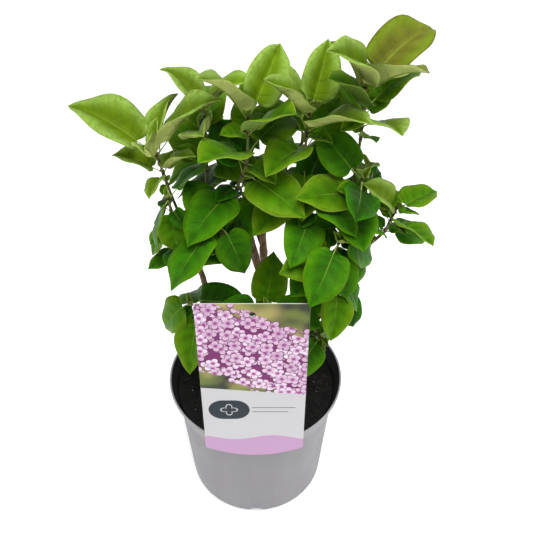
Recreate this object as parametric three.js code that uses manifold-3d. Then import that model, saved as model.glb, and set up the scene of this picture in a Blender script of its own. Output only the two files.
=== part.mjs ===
// A young lilac bush in its nursery pot, with a plant label on the rim.
// Millimetres, +Z up, origin at the centre of the pot's flat underside. The label side faces -Y.
import * as THREE from 'three';
import { mergeVertices } from 'three/addons/utils/BufferGeometryUtils.js';
import Module from 'manifold-3d';

// ---------------------------------------------------------------- driving dimensions

const CLEAR = 0.3; // gap kept between neighbouring solids

const POT = {
  rimRadius: 84.5,
  height: 140,
  rimBand: 3, // the upright band under the mouth
  flareHeight: 32, // from the waist to the mouth
  flareBend: 0.25, // the flare's slope at the waist, as a share of its mean slope
  flareSteps: 6,
  waistRadius: 76,
  footRadius: 69,
  corner: 7, // radius between wall and underside
  wall: 1.8,
  floor: 3,
  segments: 48,
  notches: 4,
  notchRadius: 8.5,
  notchHeight: 9,
  drains: 6,
  drainRadius: 5,
  drainCircle: 40,
};

const SOIL = { edge: 126, crown: 128, flatRadius: 18, segments: 40 };

const LABEL = {
  width: 87,
  thickness: 0.8,
  top: 315,
  corner: 137.5, // height of the two lower corners
  bottom: 126, // lowest point of the bowed lower edge
  holeRadius: 2.3,
  holeBelowTop: 11,
  stakeWidth: 13,
  stakeThickness: 1.2,
  stakeTop: 52, // above the rim, as is the bend
  stakeBend: 26,
  stakeInset: 6, // from the pot's wall
  stakeFoot: 78,
};

// The woody frame. Each limb runs through its way points; radius is given at its foot and its end.
const TRUNK = { foot: [4, 4, 125], way: [[5, 4, 150]], end: [6, 3, 172], radius: [7.2, 6], flare: 4.5 };
const BOUGHS = {
  bough_left: { at: 0.55, radius: [3, 2.1], way: [[-20, 2, 192], [-38, 0, 236]], end: [-51, 0, 300] },
  bough_stub: { at: 0.3, radius: [4.4, 3.9], way: [[-20, -4, 182], [-31, -8, 222]], end: [-20, -10, 250] },
  bough_centre: { at: 0.9, radius: [4.2, 3], way: [[8, 1, 214], [6, -2, 262]], end: [-3, -10, 320] },
  bough_middle: { at: 0.8, radius: [4.4, 3.3], way: [[30, 6, 214], [53, 3, 262]], end: [63, -2, 314] },
  bough_right: { at: 0.6, radius: [4.2, 3.4], way: [[44, -2, 200], [73, -4, 254]], end: [97, -10, 319] },
  bough_back: { at: 0.7, radius: [4.2, 3], way: [[10, 26, 214], [8, 44, 256]], end: [6, 52, 306] },
};

// The leafy shoots of the year, in the order in which they take their space; a shoot's place in this order
// also starts its small irregularities. It leaves its bough, "from", at the share "at" of the bough's length,
// and runs through its way points to its tip. "pairs" counts its leaf pairs, "first" is the share of its
// length below the lowest pair, "leaf" its longest blade, "size" the share of that, and "phase" the compass
// angle of the lowest pair. "open" is the angle between stem and petiole, "droop" how far the blades hang,
// and "bow" how far they bend over their length. "young" is 1 for a fresh, folded, upright leaf and 0 for a
// full-grown flat one that faces the light. Where two numbers stand, the first is for the lowest pair and the
// second for the top one. "room" holds the low and high corners of the space that the leaves keep to.
const SHOOTS = {
  shoot_middle_front: {
    from: 'bough_middle', at: 0.94, way: [[76, -18, 340]], tip: [82, -24, 384],
    pairs: 4, first: 0.35, leaf: 50, size: [0.8, 1], phase: 20,
    open: [66, 66], droop: [0.5, 0.1], bow: [34, 16], young: [0, 0],
    room: [[20, -90, 320], [98, 30, 420]],
  },
  shoot_front_left: {
    from: 'bough_centre', at: 0.88, way: [[-19, -28, 328]], tip: [-27, -36, 350],
    pairs: 3, first: 0.45, leaf: 50, size: [0.75, 1], phase: 45,
    open: [50, 60], droop: [-0.2, 0.5], bow: [34, 24], young: [0, 0.1],
    room: [[-70, -92, 284], [42, 0, 380]],
  },
  shoot_right_front: {
    from: 'bough_middle', at: 0.74, way: [[62, -30, 308]], tip: [65, -50, 344],
    pairs: 3, first: 0.5, leaf: 46, size: [1, 1], phase: 60,
    open: [66, 60], droop: [0.5, 0.6], bow: [30, 24], young: [0, 0],
    room: [[0, -104, 284], [96, 0, 395]],
  },
  shoot_tall: {
    from: 'bough_middle', at: 1, way: [[76, -2, 352], [81, 0, 400]], tip: [81, 0, 448],
    pairs: 4, first: 0.76, leaf: 62, size: [0.75, 0.9], phase: 120,
    open: [54, 40], droop: [0.1, 0.1], bow: [40, 50], young: [0.4, 1],
    room: [[40, -60, 380], [156, 40, 500]],
  },
  shoot_middle_crown: {
    from: 'bough_middle', at: 0.9, way: [[42, -2, 352], [40, 0, 388]], tip: [42, -2, 424],
    pairs: 6, first: 0.34, leaf: 55, size: [0.85, 0.9], phase: 135,
    open: [62, 40], droop: [0.5, 0], bow: [34, 20], young: [0.1, 1],
    room: [[0, -66, 320], [96, 40, 480]],
  },
  shoot_far_left: {
    from: 'bough_left', at: 1, way: [[-65, -3, 358]], tip: [-72, -5, 394],
    pairs: 2, first: 0.8, leaf: 62, size: [0.35, 1], phase: 80,
    open: [60, 52], droop: [0.4, -0.1], bow: [30, 40], young: [0.4, 1],
    room: [[-146, -60, 350], [-10, 60, 456]],
  },
  shoot_left_crown: {
    from: 'bough_left', at: 0.92, way: [[-38, 12, 352]], tip: [-36, 12, 418],
    pairs: 4, first: 0.4, leaf: 48, size: [1, 0.9], phase: 80,
    open: [62, 34], droop: [0.5, 0], bow: [34, 56], young: [0.1, 0.8],
    room: [[-75, -50, 330], [14, 80, 452]],
  },
  shoot_centre_crown: {
    from: 'bough_centre', at: 1, way: [[-13, -10, 359], [-4, -12, 390]], tip: [-3, -8, 426],
    pairs: 5, first: 0.4, leaf: 54, size: [0.9, 1], phase: 45,
    open: [60, 40], droop: [0.5, 0], bow: [34, 30], young: [0, 0.8],
    room: [[-60, -80, 330], [50, 60, 480]],
  },
  shoot_left_mid: {
    from: 'bough_left', at: 0.86, way: [[-60, -16, 320]], tip: [-64, -20, 364],
    pairs: 4, first: 0.4, leaf: 42, size: [0.9, 1], phase: 120,
    open: [60, 60], droop: [0.6, 0.6], bow: [34, 30], young: [0, 0],
    room: [[-86, -80, 308], [-16, 40, 390]],
  },
  shoot_right_low: {
    from: 'bough_right', at: 0.66, way: [[70, -30, 276]], tip: [66, -52, 308],
    pairs: 3, first: 0.5, leaf: 35, size: [1, 1], phase: 0,
    open: [60, 50], droop: [0.9, 0.9], bow: [40, 40], young: [0.1, 0.3],
    room: [[36, -104, 244], [90, 10, 334]],
  },
  shoot_inner_right: {
    from: 'bough_middle', at: 0.82, way: [[46, -18, 326]], tip: [45, -28, 370],
    pairs: 4, first: 0.35, leaf: 42, size: [1, 1], phase: 65,
    open: [60, 60], droop: [0.6, 0.5], bow: [34, 24], young: [0, 0],
    room: [[5, -90, 310], [80, 30, 400]],
  },
  shoot_right_side: {
    from: 'bough_right', at: 0.93, way: [[106, -10, 324]], tip: [113, -10, 346],
    pairs: 3, first: 0.5, leaf: 42, size: [0.8, 1], phase: 20,
    open: [70, 60], droop: [0, 0.2], bow: [20, 30], young: [0.2, 0.7],
    room: [[78, -60, 296], [152, 40, 384]],
  },
  shoot_right_back: {
    from: 'bough_right', at: 0.85, way: [[92, 12, 330]], tip: [92, 18, 364],
    pairs: 3, first: 0.4, leaf: 44, size: [1, 1], phase: 40,
    open: [60, 50], droop: [0.5, 0.3], bow: [34, 40], young: [0, 0.3],
    room: [[50, -40, 300], [106, 80, 400]],
  },
  shoot_left_side: {
    from: 'bough_left', at: 0.78, way: [[-58, -2, 300]], tip: [-66, -2, 323],
    pairs: 2, first: 0.6, leaf: 36, size: [1, 1], phase: 80,
    open: [60, 60], droop: [0, -0.2], bow: [30, 30], young: [0.2, 0.4],
    room: [[-98, -60, 292], [-30, 50, 350]],
  },
  shoot_back_left: {
    from: 'bough_back', at: 0.9, way: [], tip: [-26, 54, 372],
    pairs: 4, first: 0.3, leaf: 50, size: [1, 0.9], phase: 40,
    open: [66, 42], droop: [0.6, 0.2], bow: [34, 50], young: [0, 0.6],
    room: [[-80, 0, 280], [40, 120, 405]],
  },
  shoot_back_right: {
    from: 'bough_back', at: 1, way: [], tip: [40, 56, 366],
    pairs: 4, first: 0.3, leaf: 50, size: [1, 0.9], phase: 10,
    open: [66, 42], droop: [0.6, 0.2], bow: [34, 50], young: [0, 0.6],
    room: [[-20, 0, 280], [96, 120, 400]],
  },
  shoot_back_low: {
    from: 'bough_back', at: 0.7, way: [], tip: [-16, 84, 310],
    pairs: 3, first: 0.4, leaf: 48, size: [1, 1], phase: 30,
    open: [64, 50], droop: [0.7, 0.4], bow: [34, 40], young: [0, 0.3],
    room: [[-80, 20, 240], [60, 130, 350]],
  },
  shoot_foot_left: {
    from: 'bough_stub', at: 0.6, way: [], tip: [-53, -14, 246],
    pairs: 3, first: 0.4, leaf: 45, size: [1, 1], phase: 0,
    open: [66, 55], droop: [0.8, 0.8], bow: [34, 34], young: [0, 0],
    room: [[-84, -78, 150], [0, 50, 290]],
  },
  shoot_foot_front: {
    from: 'bough_centre', at: 0.25, way: [], tip: [10, -40, 268],
    pairs: 3, first: 0.4, leaf: 40, size: [1, 1], phase: 0,
    open: [60, 50], droop: [0.5, 0.5], bow: [34, 34], young: [0, 0],
    room: [[-60, -82, 200], [70, 30, 298]],
  },
  shoot_foot_right: {
    from: 'bough_right', at: 0.35, way: [], tip: [58, -44, 236],
    pairs: 3, first: 0.4, leaf: 38, size: [1, 1], phase: 30,
    open: [60, 50], droop: [0.6, 0.6], bow: [34, 34], young: [0, 0.1],
    room: [[16, -80, 196], [74, 30, 270]],
  },
  shoot_right_mid: {
    from: 'bough_right', at: 0.8, way: [], tip: [76, -28, 324],
    pairs: 3, first: 0.4, leaf: 42, size: [1, 1], phase: 30,
    open: [60, 64], droop: [0.4, 0.5], bow: [34, 30], young: [0, 0.2],
    room: [[40, -96, 280], [112, 30, 362]],
  },
};

const LIMB = { trunkSides: 10, trunkSteps: 6, boughSides: 8, boughSteps: 10 };
const STEM = { footRadius: 1.9, tipRadius: 1.1, sides: 5, steps: 10 };
const LEAF = {
  widthShare: 0.76, // widest breadth over length
  petioleShare: 0.3, // petiole over blade length
  petioleRadius: 0.8,
  thickness: 1,
  fold: [10, 40], // each half blade is raised by this angle, full-grown and young
  outward: 0.3, // how much the faces turn away from the bush's middle
  stations: [0.07, 0.3, 0.58, 0.83],
  shapeRise: 0.5, // the outline is t^rise * (1 - t)^fall
  shapeFall: 1.1,
  tries: 14,
};

// The coarse skins that leaves are kept clear of.
const HULL = { steps: 10, spread: 1.35, margin: 1.5, sectors: 20, depth: 70 };

// ---------------------------------------------------------------- small tools

const wasm = await Module();
wasm.setup();
const UP = new THREE.Vector3(0, 0, 1);
const LIGHT = new THREE.Vector3(0, -0.36, 0.93); // the leaves turn their faces towards it
const vec = (p) => new THREE.Vector3(...p);
const rad = THREE.MathUtils.degToRad;
const mix = THREE.MathUtils.lerp;

// The closed solid of a three.js geometry: vertices merged, collapsed triangles dropped.
function solidOf(geometry) {
  const bare = geometry.index ? geometry.toNonIndexed() : geometry.clone();
  for (const name of Object.keys(bare.attributes)) {
    if (name !== 'position') bare.deleteAttribute(name);
  }
  const merged = mergeVertices(bare, 1e-3);
  const index = merged.index.array;
  const kept = [];
  for (let i = 0; i < index.length; i += 3) {
    const [a, b, c] = [index[i], index[i + 1], index[i + 2]];
    if (a !== b && b !== c && c !== a) kept.push(a, b, c);
  }
  const vertProperties = merged.attributes.position.array;
  return new wasm.Manifold(new wasm.Mesh({ numProp: 3, vertProperties, triVerts: new Uint32Array(kept) }));
}

// A named mesh of a solid.
function meshOf(name, solid, material) {
  const { vertProperties, triVerts } = solid.getMesh();
  const geometry = new THREE.BufferGeometry();
  geometry.setAttribute('position', new THREE.BufferAttribute(vertProperties, 3));
  geometry.setIndex(new THREE.BufferAttribute(triVerts, 1));
  geometry.computeVertexNormals();
  const mesh = new THREE.Mesh(geometry, material);
  mesh.name = name;
  return mesh;
}

// The largest body of a solid that a cut has left in several.
const largest = (solid) => solid.decompose().sort((a, b) => b.volume() - a.volume())[0];

// A lathe about Z of [radius, height] points.
function turned(points, segments) {
  const lathe = new THREE.LatheGeometry(points.map(([r, z]) => new THREE.Vector2(r, z)), segments);
  return solidOf(lathe.rotateX(Math.PI / 2));
}

// The two directions across a stem: the first as near +X as it gets.
function across(tangent) {
  const first = new THREE.Vector3(1, 0, 0).addScaledVector(tangent, -tangent.x).normalize();
  return [first, new THREE.Vector3().crossVectors(tangent, first)];
}

// A closed round tube along a curve, whose radius follows radiusAt(share of length).
function limb(curve, radiusAt, sides, steps) {
  const tube = new THREE.CylinderGeometry(1, 1, 1, sides, steps);
  const place = tube.attributes.position;
  for (let i = 0; i < place.count; i++) {
    const share = THREE.MathUtils.clamp(place.getY(i) + 0.5, 0, 1);
    const [east, north] = across(curve.getTangentAt(share));
    const point = curve.getPointAt(share);
    point.addScaledVector(east, place.getX(i) * radiusAt(share));
    point.addScaledVector(north, -place.getZ(i) * radiusAt(share));
    place.setXYZ(i, point.x, point.y, point.z);
  }
  return solidOf(tube);
}

// A seeded number from 0 to 1: the same keys always give the same number.
function chance(...keys) {
  let h = 2166136261;
  for (const key of keys) {
    h = Math.imul(h ^ (key + 101), 16777619) >>> 0;
    h = (h ^ (h >>> 13)) >>> 0;
  }
  h = Math.imul(h, 2246822519) >>> 0;
  return ((h ^ (h >>> 15)) >>> 0) / 4294967296;
}
const jitter = (size, ...keys) => (chance(...keys) - 0.5) * 2 * size;

// ---------------------------------------------------------------- the growth rule

function limbCurve(foot, way, end) {
  return new THREE.CatmullRomCurve3([foot, ...way.map(vec), vec(end)], false, 'centripetal');
}

function trunkPlan() {
  const curve = limbCurve(vec(TRUNK.foot), TRUNK.way, TRUNK.end);
  const [foot, end] = TRUNK.radius;
  const radiusAt = (t) => mix(foot, end, t) + TRUNK.flare * Math.max(0, 1 - t / 0.35) ** 2;
  return { curve, radiusAt };
}

function boughPlan(bough, trunk) {
  const curve = limbCurve(trunk.curve.getPointAt(bough.at), bough.way, bough.end);
  return { curve, radiusAt: (t) => mix(bough.radius[0], bough.radius[1], t) };
}

// A shoot leaves its bough's middle line and runs through its way points to its tip.
function shootPlan(shoot, place, boughs) {
  const foot = boughs[shoot.from].curve.getPointAt(Math.min(shoot.at, 0.995));
  const curve = limbCurve(foot, shoot.way, shoot.tip);
  const space = new THREE.Box3(...shoot.room.map(vec));
  return { ...shoot, place, curve, space, radiusAt: (t) => mix(STEM.footRadius, STEM.tipRadius, t) };
}

// One leaf of a pair. Pairs stand crosswise to the pair below. Later tries swing, tilt and shorten the leaf.
function leafPlan(shoot, pair, side, attempt) {
  const rank = shoot.pairs > 1 ? pair / (shoot.pairs - 1) : 1;
  const keys = [shoot.place, pair, side, attempt];
  const share = mix(shoot.first, 1, 1 - (1 - rank) ** 1.2) * 0.985;
  const node = shoot.curve.getPointAt(share);
  const tangent = shoot.curve.getTangentAt(share);
  const [east, north] = across(tangent);
  const swing = jitter(10, ...keys, 1) + jitter(8 * attempt, ...keys, 2);
  const around = rad(shoot.phase + 90 * pair + 180 * side + swing);
  const out = east.clone().multiplyScalar(Math.cos(around)).addScaledVector(north, Math.sin(around));
  const open = rad(mix(...shoot.open, rank) + jitter(6, ...keys, 3) + jitter(5 * attempt, ...keys, 4));
  const rise = tangent.clone().multiplyScalar(Math.cos(open)).addScaledVector(out, Math.sin(open));
  const droop = mix(...shoot.droop, rank) + jitter(0.12 * (1 + attempt), ...keys, 5);
  const along = rise.clone().addScaledVector(UP, -droop).normalize();
  const size = mix(...shoot.size, rank) + jitter(0.06, ...keys, 6);
  const length = shoot.leaf * size * 0.98 ** attempt;
  const petiole = length * LEAF.petioleShare;
  const base = node.clone().addScaledVector(rise, petiole * 0.6).addScaledVector(along, petiole * 0.4);
  const young = mix(...shoot.young, rank);
  const face = tangent.clone().multiplyScalar(0.4).addScaledVector(LIGHT.clone().lerp(UP, young), 0.8);
  face.addScaledVector(new THREE.Vector3(base.x, base.y, 0).normalize(), LEAF.outward);
  face.addScaledVector(along, -face.dot(along)).normalize();
  face.applyAxisAngle(along, rad(jitter(16 + 5 * attempt, ...keys, 7)));
  return {
    node,
    rise,
    base,
    along,
    face,
    length,
    halfWidth: (length * LEAF.widthShare) / 2,
    fold: rad(mix(...LEAF.fold, young) + jitter(6, ...keys, 8)),
    bow: rad(mix(...shoot.bow, rank) + jitter(12, ...keys, 9)),
  };
}

// Half the blade's breadth at a share of its length, 1 at the widest place.
function outline(t) {
  const peak = LEAF.shapeRise / (LEAF.shapeRise + LEAF.shapeFall);
  const form = (x) => x ** LEAF.shapeRise * (1 - x) ** LEAF.shapeFall;
  return form(t) / form(peak);
}

// The blade's cross rows: middle, left and right points and the face's normal at each station.
function bladeRows(leaf, stations) {
  const side = new THREE.Vector3().crossVectors(leaf.along, leaf.face);
  const rows = [];
  const middle = leaf.base.clone();
  let last = 0;
  for (const t of stations) {
    const step = (t - last) * leaf.length;
    const turn = leaf.bow * ((t + last) / 2) ** 1.2;
    middle.addScaledVector(leaf.along, step * Math.cos(turn));
    middle.addScaledVector(leaf.face, -step * Math.sin(turn));
    const bow = leaf.bow * t ** 1.2;
    const normal = leaf.face.clone().multiplyScalar(Math.cos(bow)).addScaledVector(leaf.along, Math.sin(bow));
    const reach = t > 0 && t < 1 ? leaf.halfWidth * outline(t) : 0;
    const lift = normal.clone().multiplyScalar(reach * Math.sin(leaf.fold));
    const flat = reach * Math.cos(leaf.fold);
    rows.push({
      middle: middle.clone(),
      left: middle.clone().addScaledVector(side, -flat).add(lift),
      right: middle.clone().addScaledVector(side, flat).add(lift),
      normal,
    });
    last = t;
  }
  return rows;
}

// The skin of a leaf: a thin petiole that opens into a lens-shaped blade. Its rings have four corners each.
// The petiole starts "root" beyond the middle line of its stem.
function leafRings(leaf, extra = 0, root = -1) {
  const half = LEAF.thickness / 2 + extra;
  const rows = bladeRows(leaf, [0, ...LEAF.stations, 1]);
  const side = new THREE.Vector3().crossVectors(leaf.along, leaf.face);
  const thin = (point) => [side, leaf.face, side, leaf.face].map((way, k) => {
    const sign = k === 0 || k === 3 ? -1 : 1;
    return point.clone().addScaledVector(way, sign * (LEAF.petioleRadius + extra));
  });
  const blade = rows.slice(1, -1).map((row) => [
    row.left,
    row.middle.clone().addScaledVector(row.normal, half),
    row.right,
    row.middle.clone().addScaledVector(row.normal, -half),
  ]);
  const stalk = leaf.base.clone().sub(leaf.node).normalize();
  const rooted = leaf.node.clone().addScaledVector(stalk, root + 1.5);
  return {
    start: leaf.node.clone().addScaledVector(stalk, root),
    rings: [thin(rooted), thin(leaf.base), ...blade],
    tip: rows[rows.length - 1].middle,
  };
}

// The corners of a leaf skin's triangles, three by three.
function skinCorners({ start, rings, tip }) {
  const corners = [];
  for (let k = 0; k < 4; k++) {
    const next = (k + 1) % 4;
    corners.push(start, rings[0][next], rings[0][k]);
    for (let i = 1; i < rings.length; i++) {
      corners.push(rings[i - 1][k], rings[i][next], rings[i][k]);
      corners.push(rings[i - 1][k], rings[i - 1][next], rings[i][next]);
    }
    corners.push(rings[rings.length - 1][k], rings[rings.length - 1][next], tip);
  }
  return corners;
}

// What the rule tests for crossings: triangles, the edges between them and the box round all of it.
function hullOf(triangles, edges) {
  const box = new THREE.Box3().setFromPoints(triangles.flat());
  return { triangles, edges, box };
}

function leafHull(leaf) {
  const skin = leafRings(leaf, CLEAR, STEM.footRadius + 0.5);
  const corners = skinCorners(skin);
  const triangles = [];
  for (let i = 0; i < corners.length; i += 3) triangles.push(corners.slice(i, i + 3));
  const edges = [];
  const { rings, tip } = skin;
  rings.forEach((ring, i) => ring.forEach((corner, k) => {
    edges.push([corner, i + 1 < rings.length ? rings[i + 1][k] : tip]);
    if (i > 1) edges.push([corner, ring[(k + 1) % 4]]);
  }));
  return hullOf(triangles, edges);
}

// Whether the line from a to b goes through the triangle p, q, r.
const [toQ, toR, line, lineByR, toA, aByQ] = Array.from({ length: 6 }, () => new THREE.Vector3());
function pierces([a, b], [p, q, r]) {
  toQ.subVectors(q, p);
  toR.subVectors(r, p);
  line.subVectors(b, a);
  lineByR.crossVectors(line, toR);
  const det = toQ.dot(lineByR);
  if (Math.abs(det) < 1e-9) return false;
  toA.subVectors(a, p);
  const u = toA.dot(lineByR) / det;
  if (u < 0 || u > 1) return false;
  aByQ.crossVectors(toA, toQ);
  const v = line.dot(aByQ) / det;
  if (v < 0 || u + v > 1) return false;
  const t = toR.dot(aByQ) / det;
  return t > 0 && t < 1;
}

const crosses = (one, other) => one.box.intersectsBox(other.box)
  && (one.edges.some((edge) => other.triangles.some((triangle) => pierces(edge, triangle)))
    || other.edges.some((edge) => one.triangles.some((triangle) => pierces(edge, triangle))));

// A limb as a three-sided skin a little thicker than its bark.
function limbHull({ curve, radiusAt }) {
  const { steps, spread } = HULL;
  const rings = curve.getSpacedPoints(steps).map((point, i) => {
    const size = (radiusAt(i / steps) + CLEAR) * spread;
    const [east, north] = across(curve.getTangentAt(i / steps));
    return [0, 1, 2].map((k) => {
      const turn = (2 * Math.PI * k) / 3;
      const corner = point.clone().addScaledVector(east, size * Math.cos(turn));
      return corner.addScaledVector(north, size * Math.sin(turn));
    });
  });
  const triangles = [];
  const edges = [];
  for (let i = 1; i <= steps; i++) {
    for (let k = 0; k < 3; k++) {
      const [a, b] = [rings[i - 1][k], rings[i - 1][(k + 1) % 3]];
      const [c, d] = [rings[i][k], rings[i][(k + 1) % 3]];
      triangles.push([a, c, d], [a, d, b]);
      edges.push([a, c], [c, d]);
    }
  }
  return hullOf(triangles, edges);
}

// The pot's wall, the soil and the label card as coarse skins.
function potHulls() {
  const { margin, sectors, depth } = HULL;
  const round = (r, z, i) => {
    const turn = (2 * Math.PI * i) / sectors;
    return new THREE.Vector3(r * Math.cos(turn), r * Math.sin(turn), z);
  };
  const triangles = [];
  const edges = [];
  for (let i = 0; i < sectors; i++) {
    for (const r of [POT.rimRadius + margin, POT.rimRadius - POT.wall - margin]) {
      const [a, b] = [i, i + 1].map((k) => round(r, POT.height + margin, k));
      const [c, d] = [i, i + 1].map((k) => round(r - 2 * margin, POT.height - depth, k));
      triangles.push([a, b, c], [b, c, d]);
      edges.push([a, b]);
    }
    const soilEdge = [i, i + 1].map((k) => round(POT.rimRadius - POT.wall, SOIL.edge + margin, k));
    triangles.push([round(0, SOIL.crown + margin, 0), ...soilEdge]);
  }
  const corner = (side, y, z) => new THREE.Vector3(side * (LABEL.width / 2 + margin), y, z);
  for (const y of [margin - POT.rimRadius, -POT.rimRadius - LABEL.thickness - margin]) {
    const [a, b] = [corner(-1, y, LABEL.bottom), corner(1, y, LABEL.bottom)];
    const [c, d] = [corner(-1, y, LABEL.top + margin), corner(1, y, LABEL.top + margin)];
    triangles.push([a, b, c], [b, c, d]);
    edges.push([a, c], [b, d], [c, d]);
  }
  return hullOf(triangles, edges);
}

// Grows every shoot's leaves from the top pair down: a leaf takes the first try that crosses nothing.
function growLeaves(shoots, limbs) {
  const taken = [potHulls(), ...limbs.map(limbHull)];
  const own = new Map(limbs.map((plan, i) => [plan, taken[i + 1]]));
  for (const shoot of Object.values(shoots)) {
    shoot.leaves = [];
    for (let pair = shoot.pairs - 1; pair >= 0; pair--) {
      for (const side of [0, 1]) {
        for (let attempt = 0; attempt < LEAF.tries; attempt++) {
          const leaf = leafPlan(shoot, pair, side, attempt);
          const hull = leafHull(leaf);
          if (!shoot.space.containsBox(hull.box)) continue;
          if (taken.some((other) => other !== own.get(shoot) && crosses(hull, other))) continue;
          taken.push(hull);
          shoot.leaves.push(leaf);
          break;
        }
      }
    }
  }
}

// ---------------------------------------------------------------- solids of the plant

function leafSolid(leaf) {
  return solidOf(new THREE.BufferGeometry().setFromPoints(skinCorners(leafRings(leaf))));
}

function limbSolid(plan, sides, steps, extra = 0) {
  return limb(plan.curve, (t) => plan.radiusAt(t) + extra, sides, steps);
}

// ---------------------------------------------------------------- pot, soil and label

// The wall's outer radius: an even taper from the foot to the waist, and a sweep out to the mouth.
function wallRadius(z) {
  const waist = POT.height - POT.flareHeight;
  if (z < waist) return mix(POT.footRadius, POT.waistRadius, (z - POT.corner) / (waist - POT.corner));
  const t = Math.min((z - waist) / (POT.flareHeight - POT.rimBand), 1);
  return mix(POT.waistRadius, POT.rimRadius, t * (POT.flareBend + (1 - POT.flareBend) * t));
}

// The heights from the waist to the rim band at which the curved wall has its rings.
const FLARE_HEIGHTS = Array.from({ length: POT.flareSteps + 1 }, (_, i) => (
  mix(POT.height - POT.flareHeight, POT.height - POT.rimBand, i / POT.flareSteps)
));

function potSolid() {
  const { rimRadius, height, footRadius, corner, wall, floor } = POT;
  const footInner = footRadius - corner;
  const arc = [0, 1, 2, 3].map((i) => {
    const a = rad(90 * (i / 3));
    return [footInner + corner * Math.sin(a), corner * (1 - Math.cos(a))];
  });
  const profile = [
    [0, 0],
    ...arc,
    ...FLARE_HEIGHTS.map((z) => [wallRadius(z), z]),
    [rimRadius, height - 0.6],
    [rimRadius - 0.6, height],
    [rimRadius - wall + 0.4, height],
    [rimRadius - wall, height - 0.4],
    ...FLARE_HEIGHTS.map((z) => [wallRadius(z) - wall, z]).reverse(),
    [footRadius - wall, corner + 2],
    [footInner, floor],
    [0, floor],
  ];
  let pot = turned(profile, POT.segments);
  const channel = solidOf(new THREE.CylinderGeometry(POT.notchRadius, POT.notchRadius, 24, 16));
  for (let i = 0; i < POT.notches; i++) {
    const cut = channel
      .translate([0, -footRadius, POT.notchHeight - POT.notchRadius])
      .rotate([0, 0, (360 * i) / POT.notches]);
    pot = pot.subtract(cut);
  }
  const bit = new THREE.CylinderGeometry(POT.drainRadius, POT.drainRadius, 20, 12);
  const drill = solidOf(bit.rotateX(Math.PI / 2));
  for (let i = 0; i < POT.drains; i++) {
    pot = pot.subtract(drill.translate([POT.drainCircle, 0, 0]).rotate([0, 0, (360 * i) / POT.drains]));
  }
  return pot;
}

function soilSolid() {
  const gap = POT.wall + CLEAR + 0.2;
  const radiusAt = (z) => wallRadius(z) - gap;
  const floor = POT.floor + CLEAR;
  const low = POT.corner + 2 + CLEAR;
  const profile = [
    [0, floor],
    [POT.footRadius - POT.corner - CLEAR, floor],
    [radiusAt(low), low + CLEAR],
    ...FLARE_HEIGHTS.filter((z) => z < SOIL.edge).map((z) => [radiusAt(z), z]),
    [radiusAt(SOIL.edge), SOIL.edge],
    [radiusAt(SOIL.edge) * 0.7, (SOIL.edge + SOIL.crown) / 2],
    [SOIL.flatRadius, SOIL.crown],
    [0, SOIL.crown],
  ];
  return turned(profile, SOIL.segments);
}

// The card stands upright outside the rim. Its lower edge is bowed and it has a round hanging hole.
function cardSolid() {
  const half = LABEL.width / 2;
  const sheet = new THREE.Shape();
  const bow = LABEL.corner - LABEL.bottom;
  sheet.moveTo(-half, LABEL.corner);
  sheet.quadraticCurveTo(0, LABEL.corner - 2 * bow, half, LABEL.corner);
  sheet.lineTo(half, LABEL.top);
  sheet.lineTo(-half, LABEL.top);
  sheet.closePath();
  const hole = new THREE.Path();
  hole.absarc(0, LABEL.top - LABEL.holeBelowTop, LABEL.holeRadius, 0, 2 * Math.PI, true);
  sheet.holes.push(hole);
  const settings = { depth: LABEL.thickness, bevelEnabled: false, curveSegments: 10 };
  const plate = new THREE.ExtrudeGeometry(sheet, settings);
  plate.rotateX(Math.PI / 2).translate(0, -POT.rimRadius - CLEAR, 0);
  return solidOf(plate);
}

// The stake behind the card goes over the rim and down into the soil.
function stakeSolid(extra = 0) {
  const behind = -POT.rimRadius;
  const inside = -POT.waistRadius + POT.wall + LABEL.stakeInset;
  const line = [
    [behind, POT.height + LABEL.stakeTop],
    [behind, POT.height + LABEL.stakeBend],
    [inside, POT.height + LABEL.stakeInset],
    [inside, LABEL.stakeFoot],
  ];
  const front = line.map(([y, z], i) => new THREE.Vector2(y - extra, z + [extra, 0, 0, -extra][i]));
  const back = front.map(({ x, y }, i) => {
    const drop = i === 1 || i === 2 ? 1 : 0;
    return new THREE.Vector2(x + LABEL.stakeThickness + 2 * extra, y + drop);
  });
  const strip = new THREE.Shape([...front, ...back.reverse()]);
  const width = LABEL.stakeWidth + 2 * extra;
  const bar = new THREE.ExtrudeGeometry(strip, { depth: width, bevelEnabled: false });
  // The outline lies in the Y-Z plane, and the strip's width runs along X.
  bar.applyMatrix4(new THREE.Matrix4().set(0, 0, 1, -width / 2, 1, 0, 0, 0, 0, 1, 0, 0, 0, 0, 0, 1));
  return solidOf(bar);
}

// ---------------------------------------------------------------- assembly

const material = (color, roughness) => new THREE.MeshStandardMaterial({ color, roughness, metalness: 0 });
const FINISH = {
  pot: material(0x9d9c9f, 0.5),
  soil: material(0x1a1713, 0.95),
  card: material(0xdcdde0, 0.4),
  bark: material(0x6b4630, 0.85),
  leaf: material(0x4c7f1c, 0.5),
};

const bush = new THREE.Group();
bush.name = 'lilac_bush';

const trunk = trunkPlan();
const boughs = {};
for (const [name, bough] of Object.entries(BOUGHS)) boughs[name] = boughPlan(bough, trunk);
const shoots = {};
Object.entries(SHOOTS).forEach(([name, shoot], place) => {
  shoots[name] = shootPlan(shoot, place, boughs);
});
growLeaves(shoots, [trunk, ...Object.values(boughs), ...Object.values(shoots)]);

bush.add(meshOf('pot', potSolid(), FINISH.pot));
bush.add(meshOf('soil', soilSolid().subtract(stakeSolid(CLEAR)), FINISH.soil));
bush.add(meshOf('label_card', cardSolid(), FINISH.card));
bush.add(meshOf('label_stake', stakeSolid(), FINISH.card));
const trunkSolid = limbSolid(trunk, LIMB.trunkSides, LIMB.trunkSteps);
bush.add(meshOf('trunk', trunkSolid.trimByPlane([0, 0, 1], SOIL.crown + CLEAR), FINISH.bark));

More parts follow.
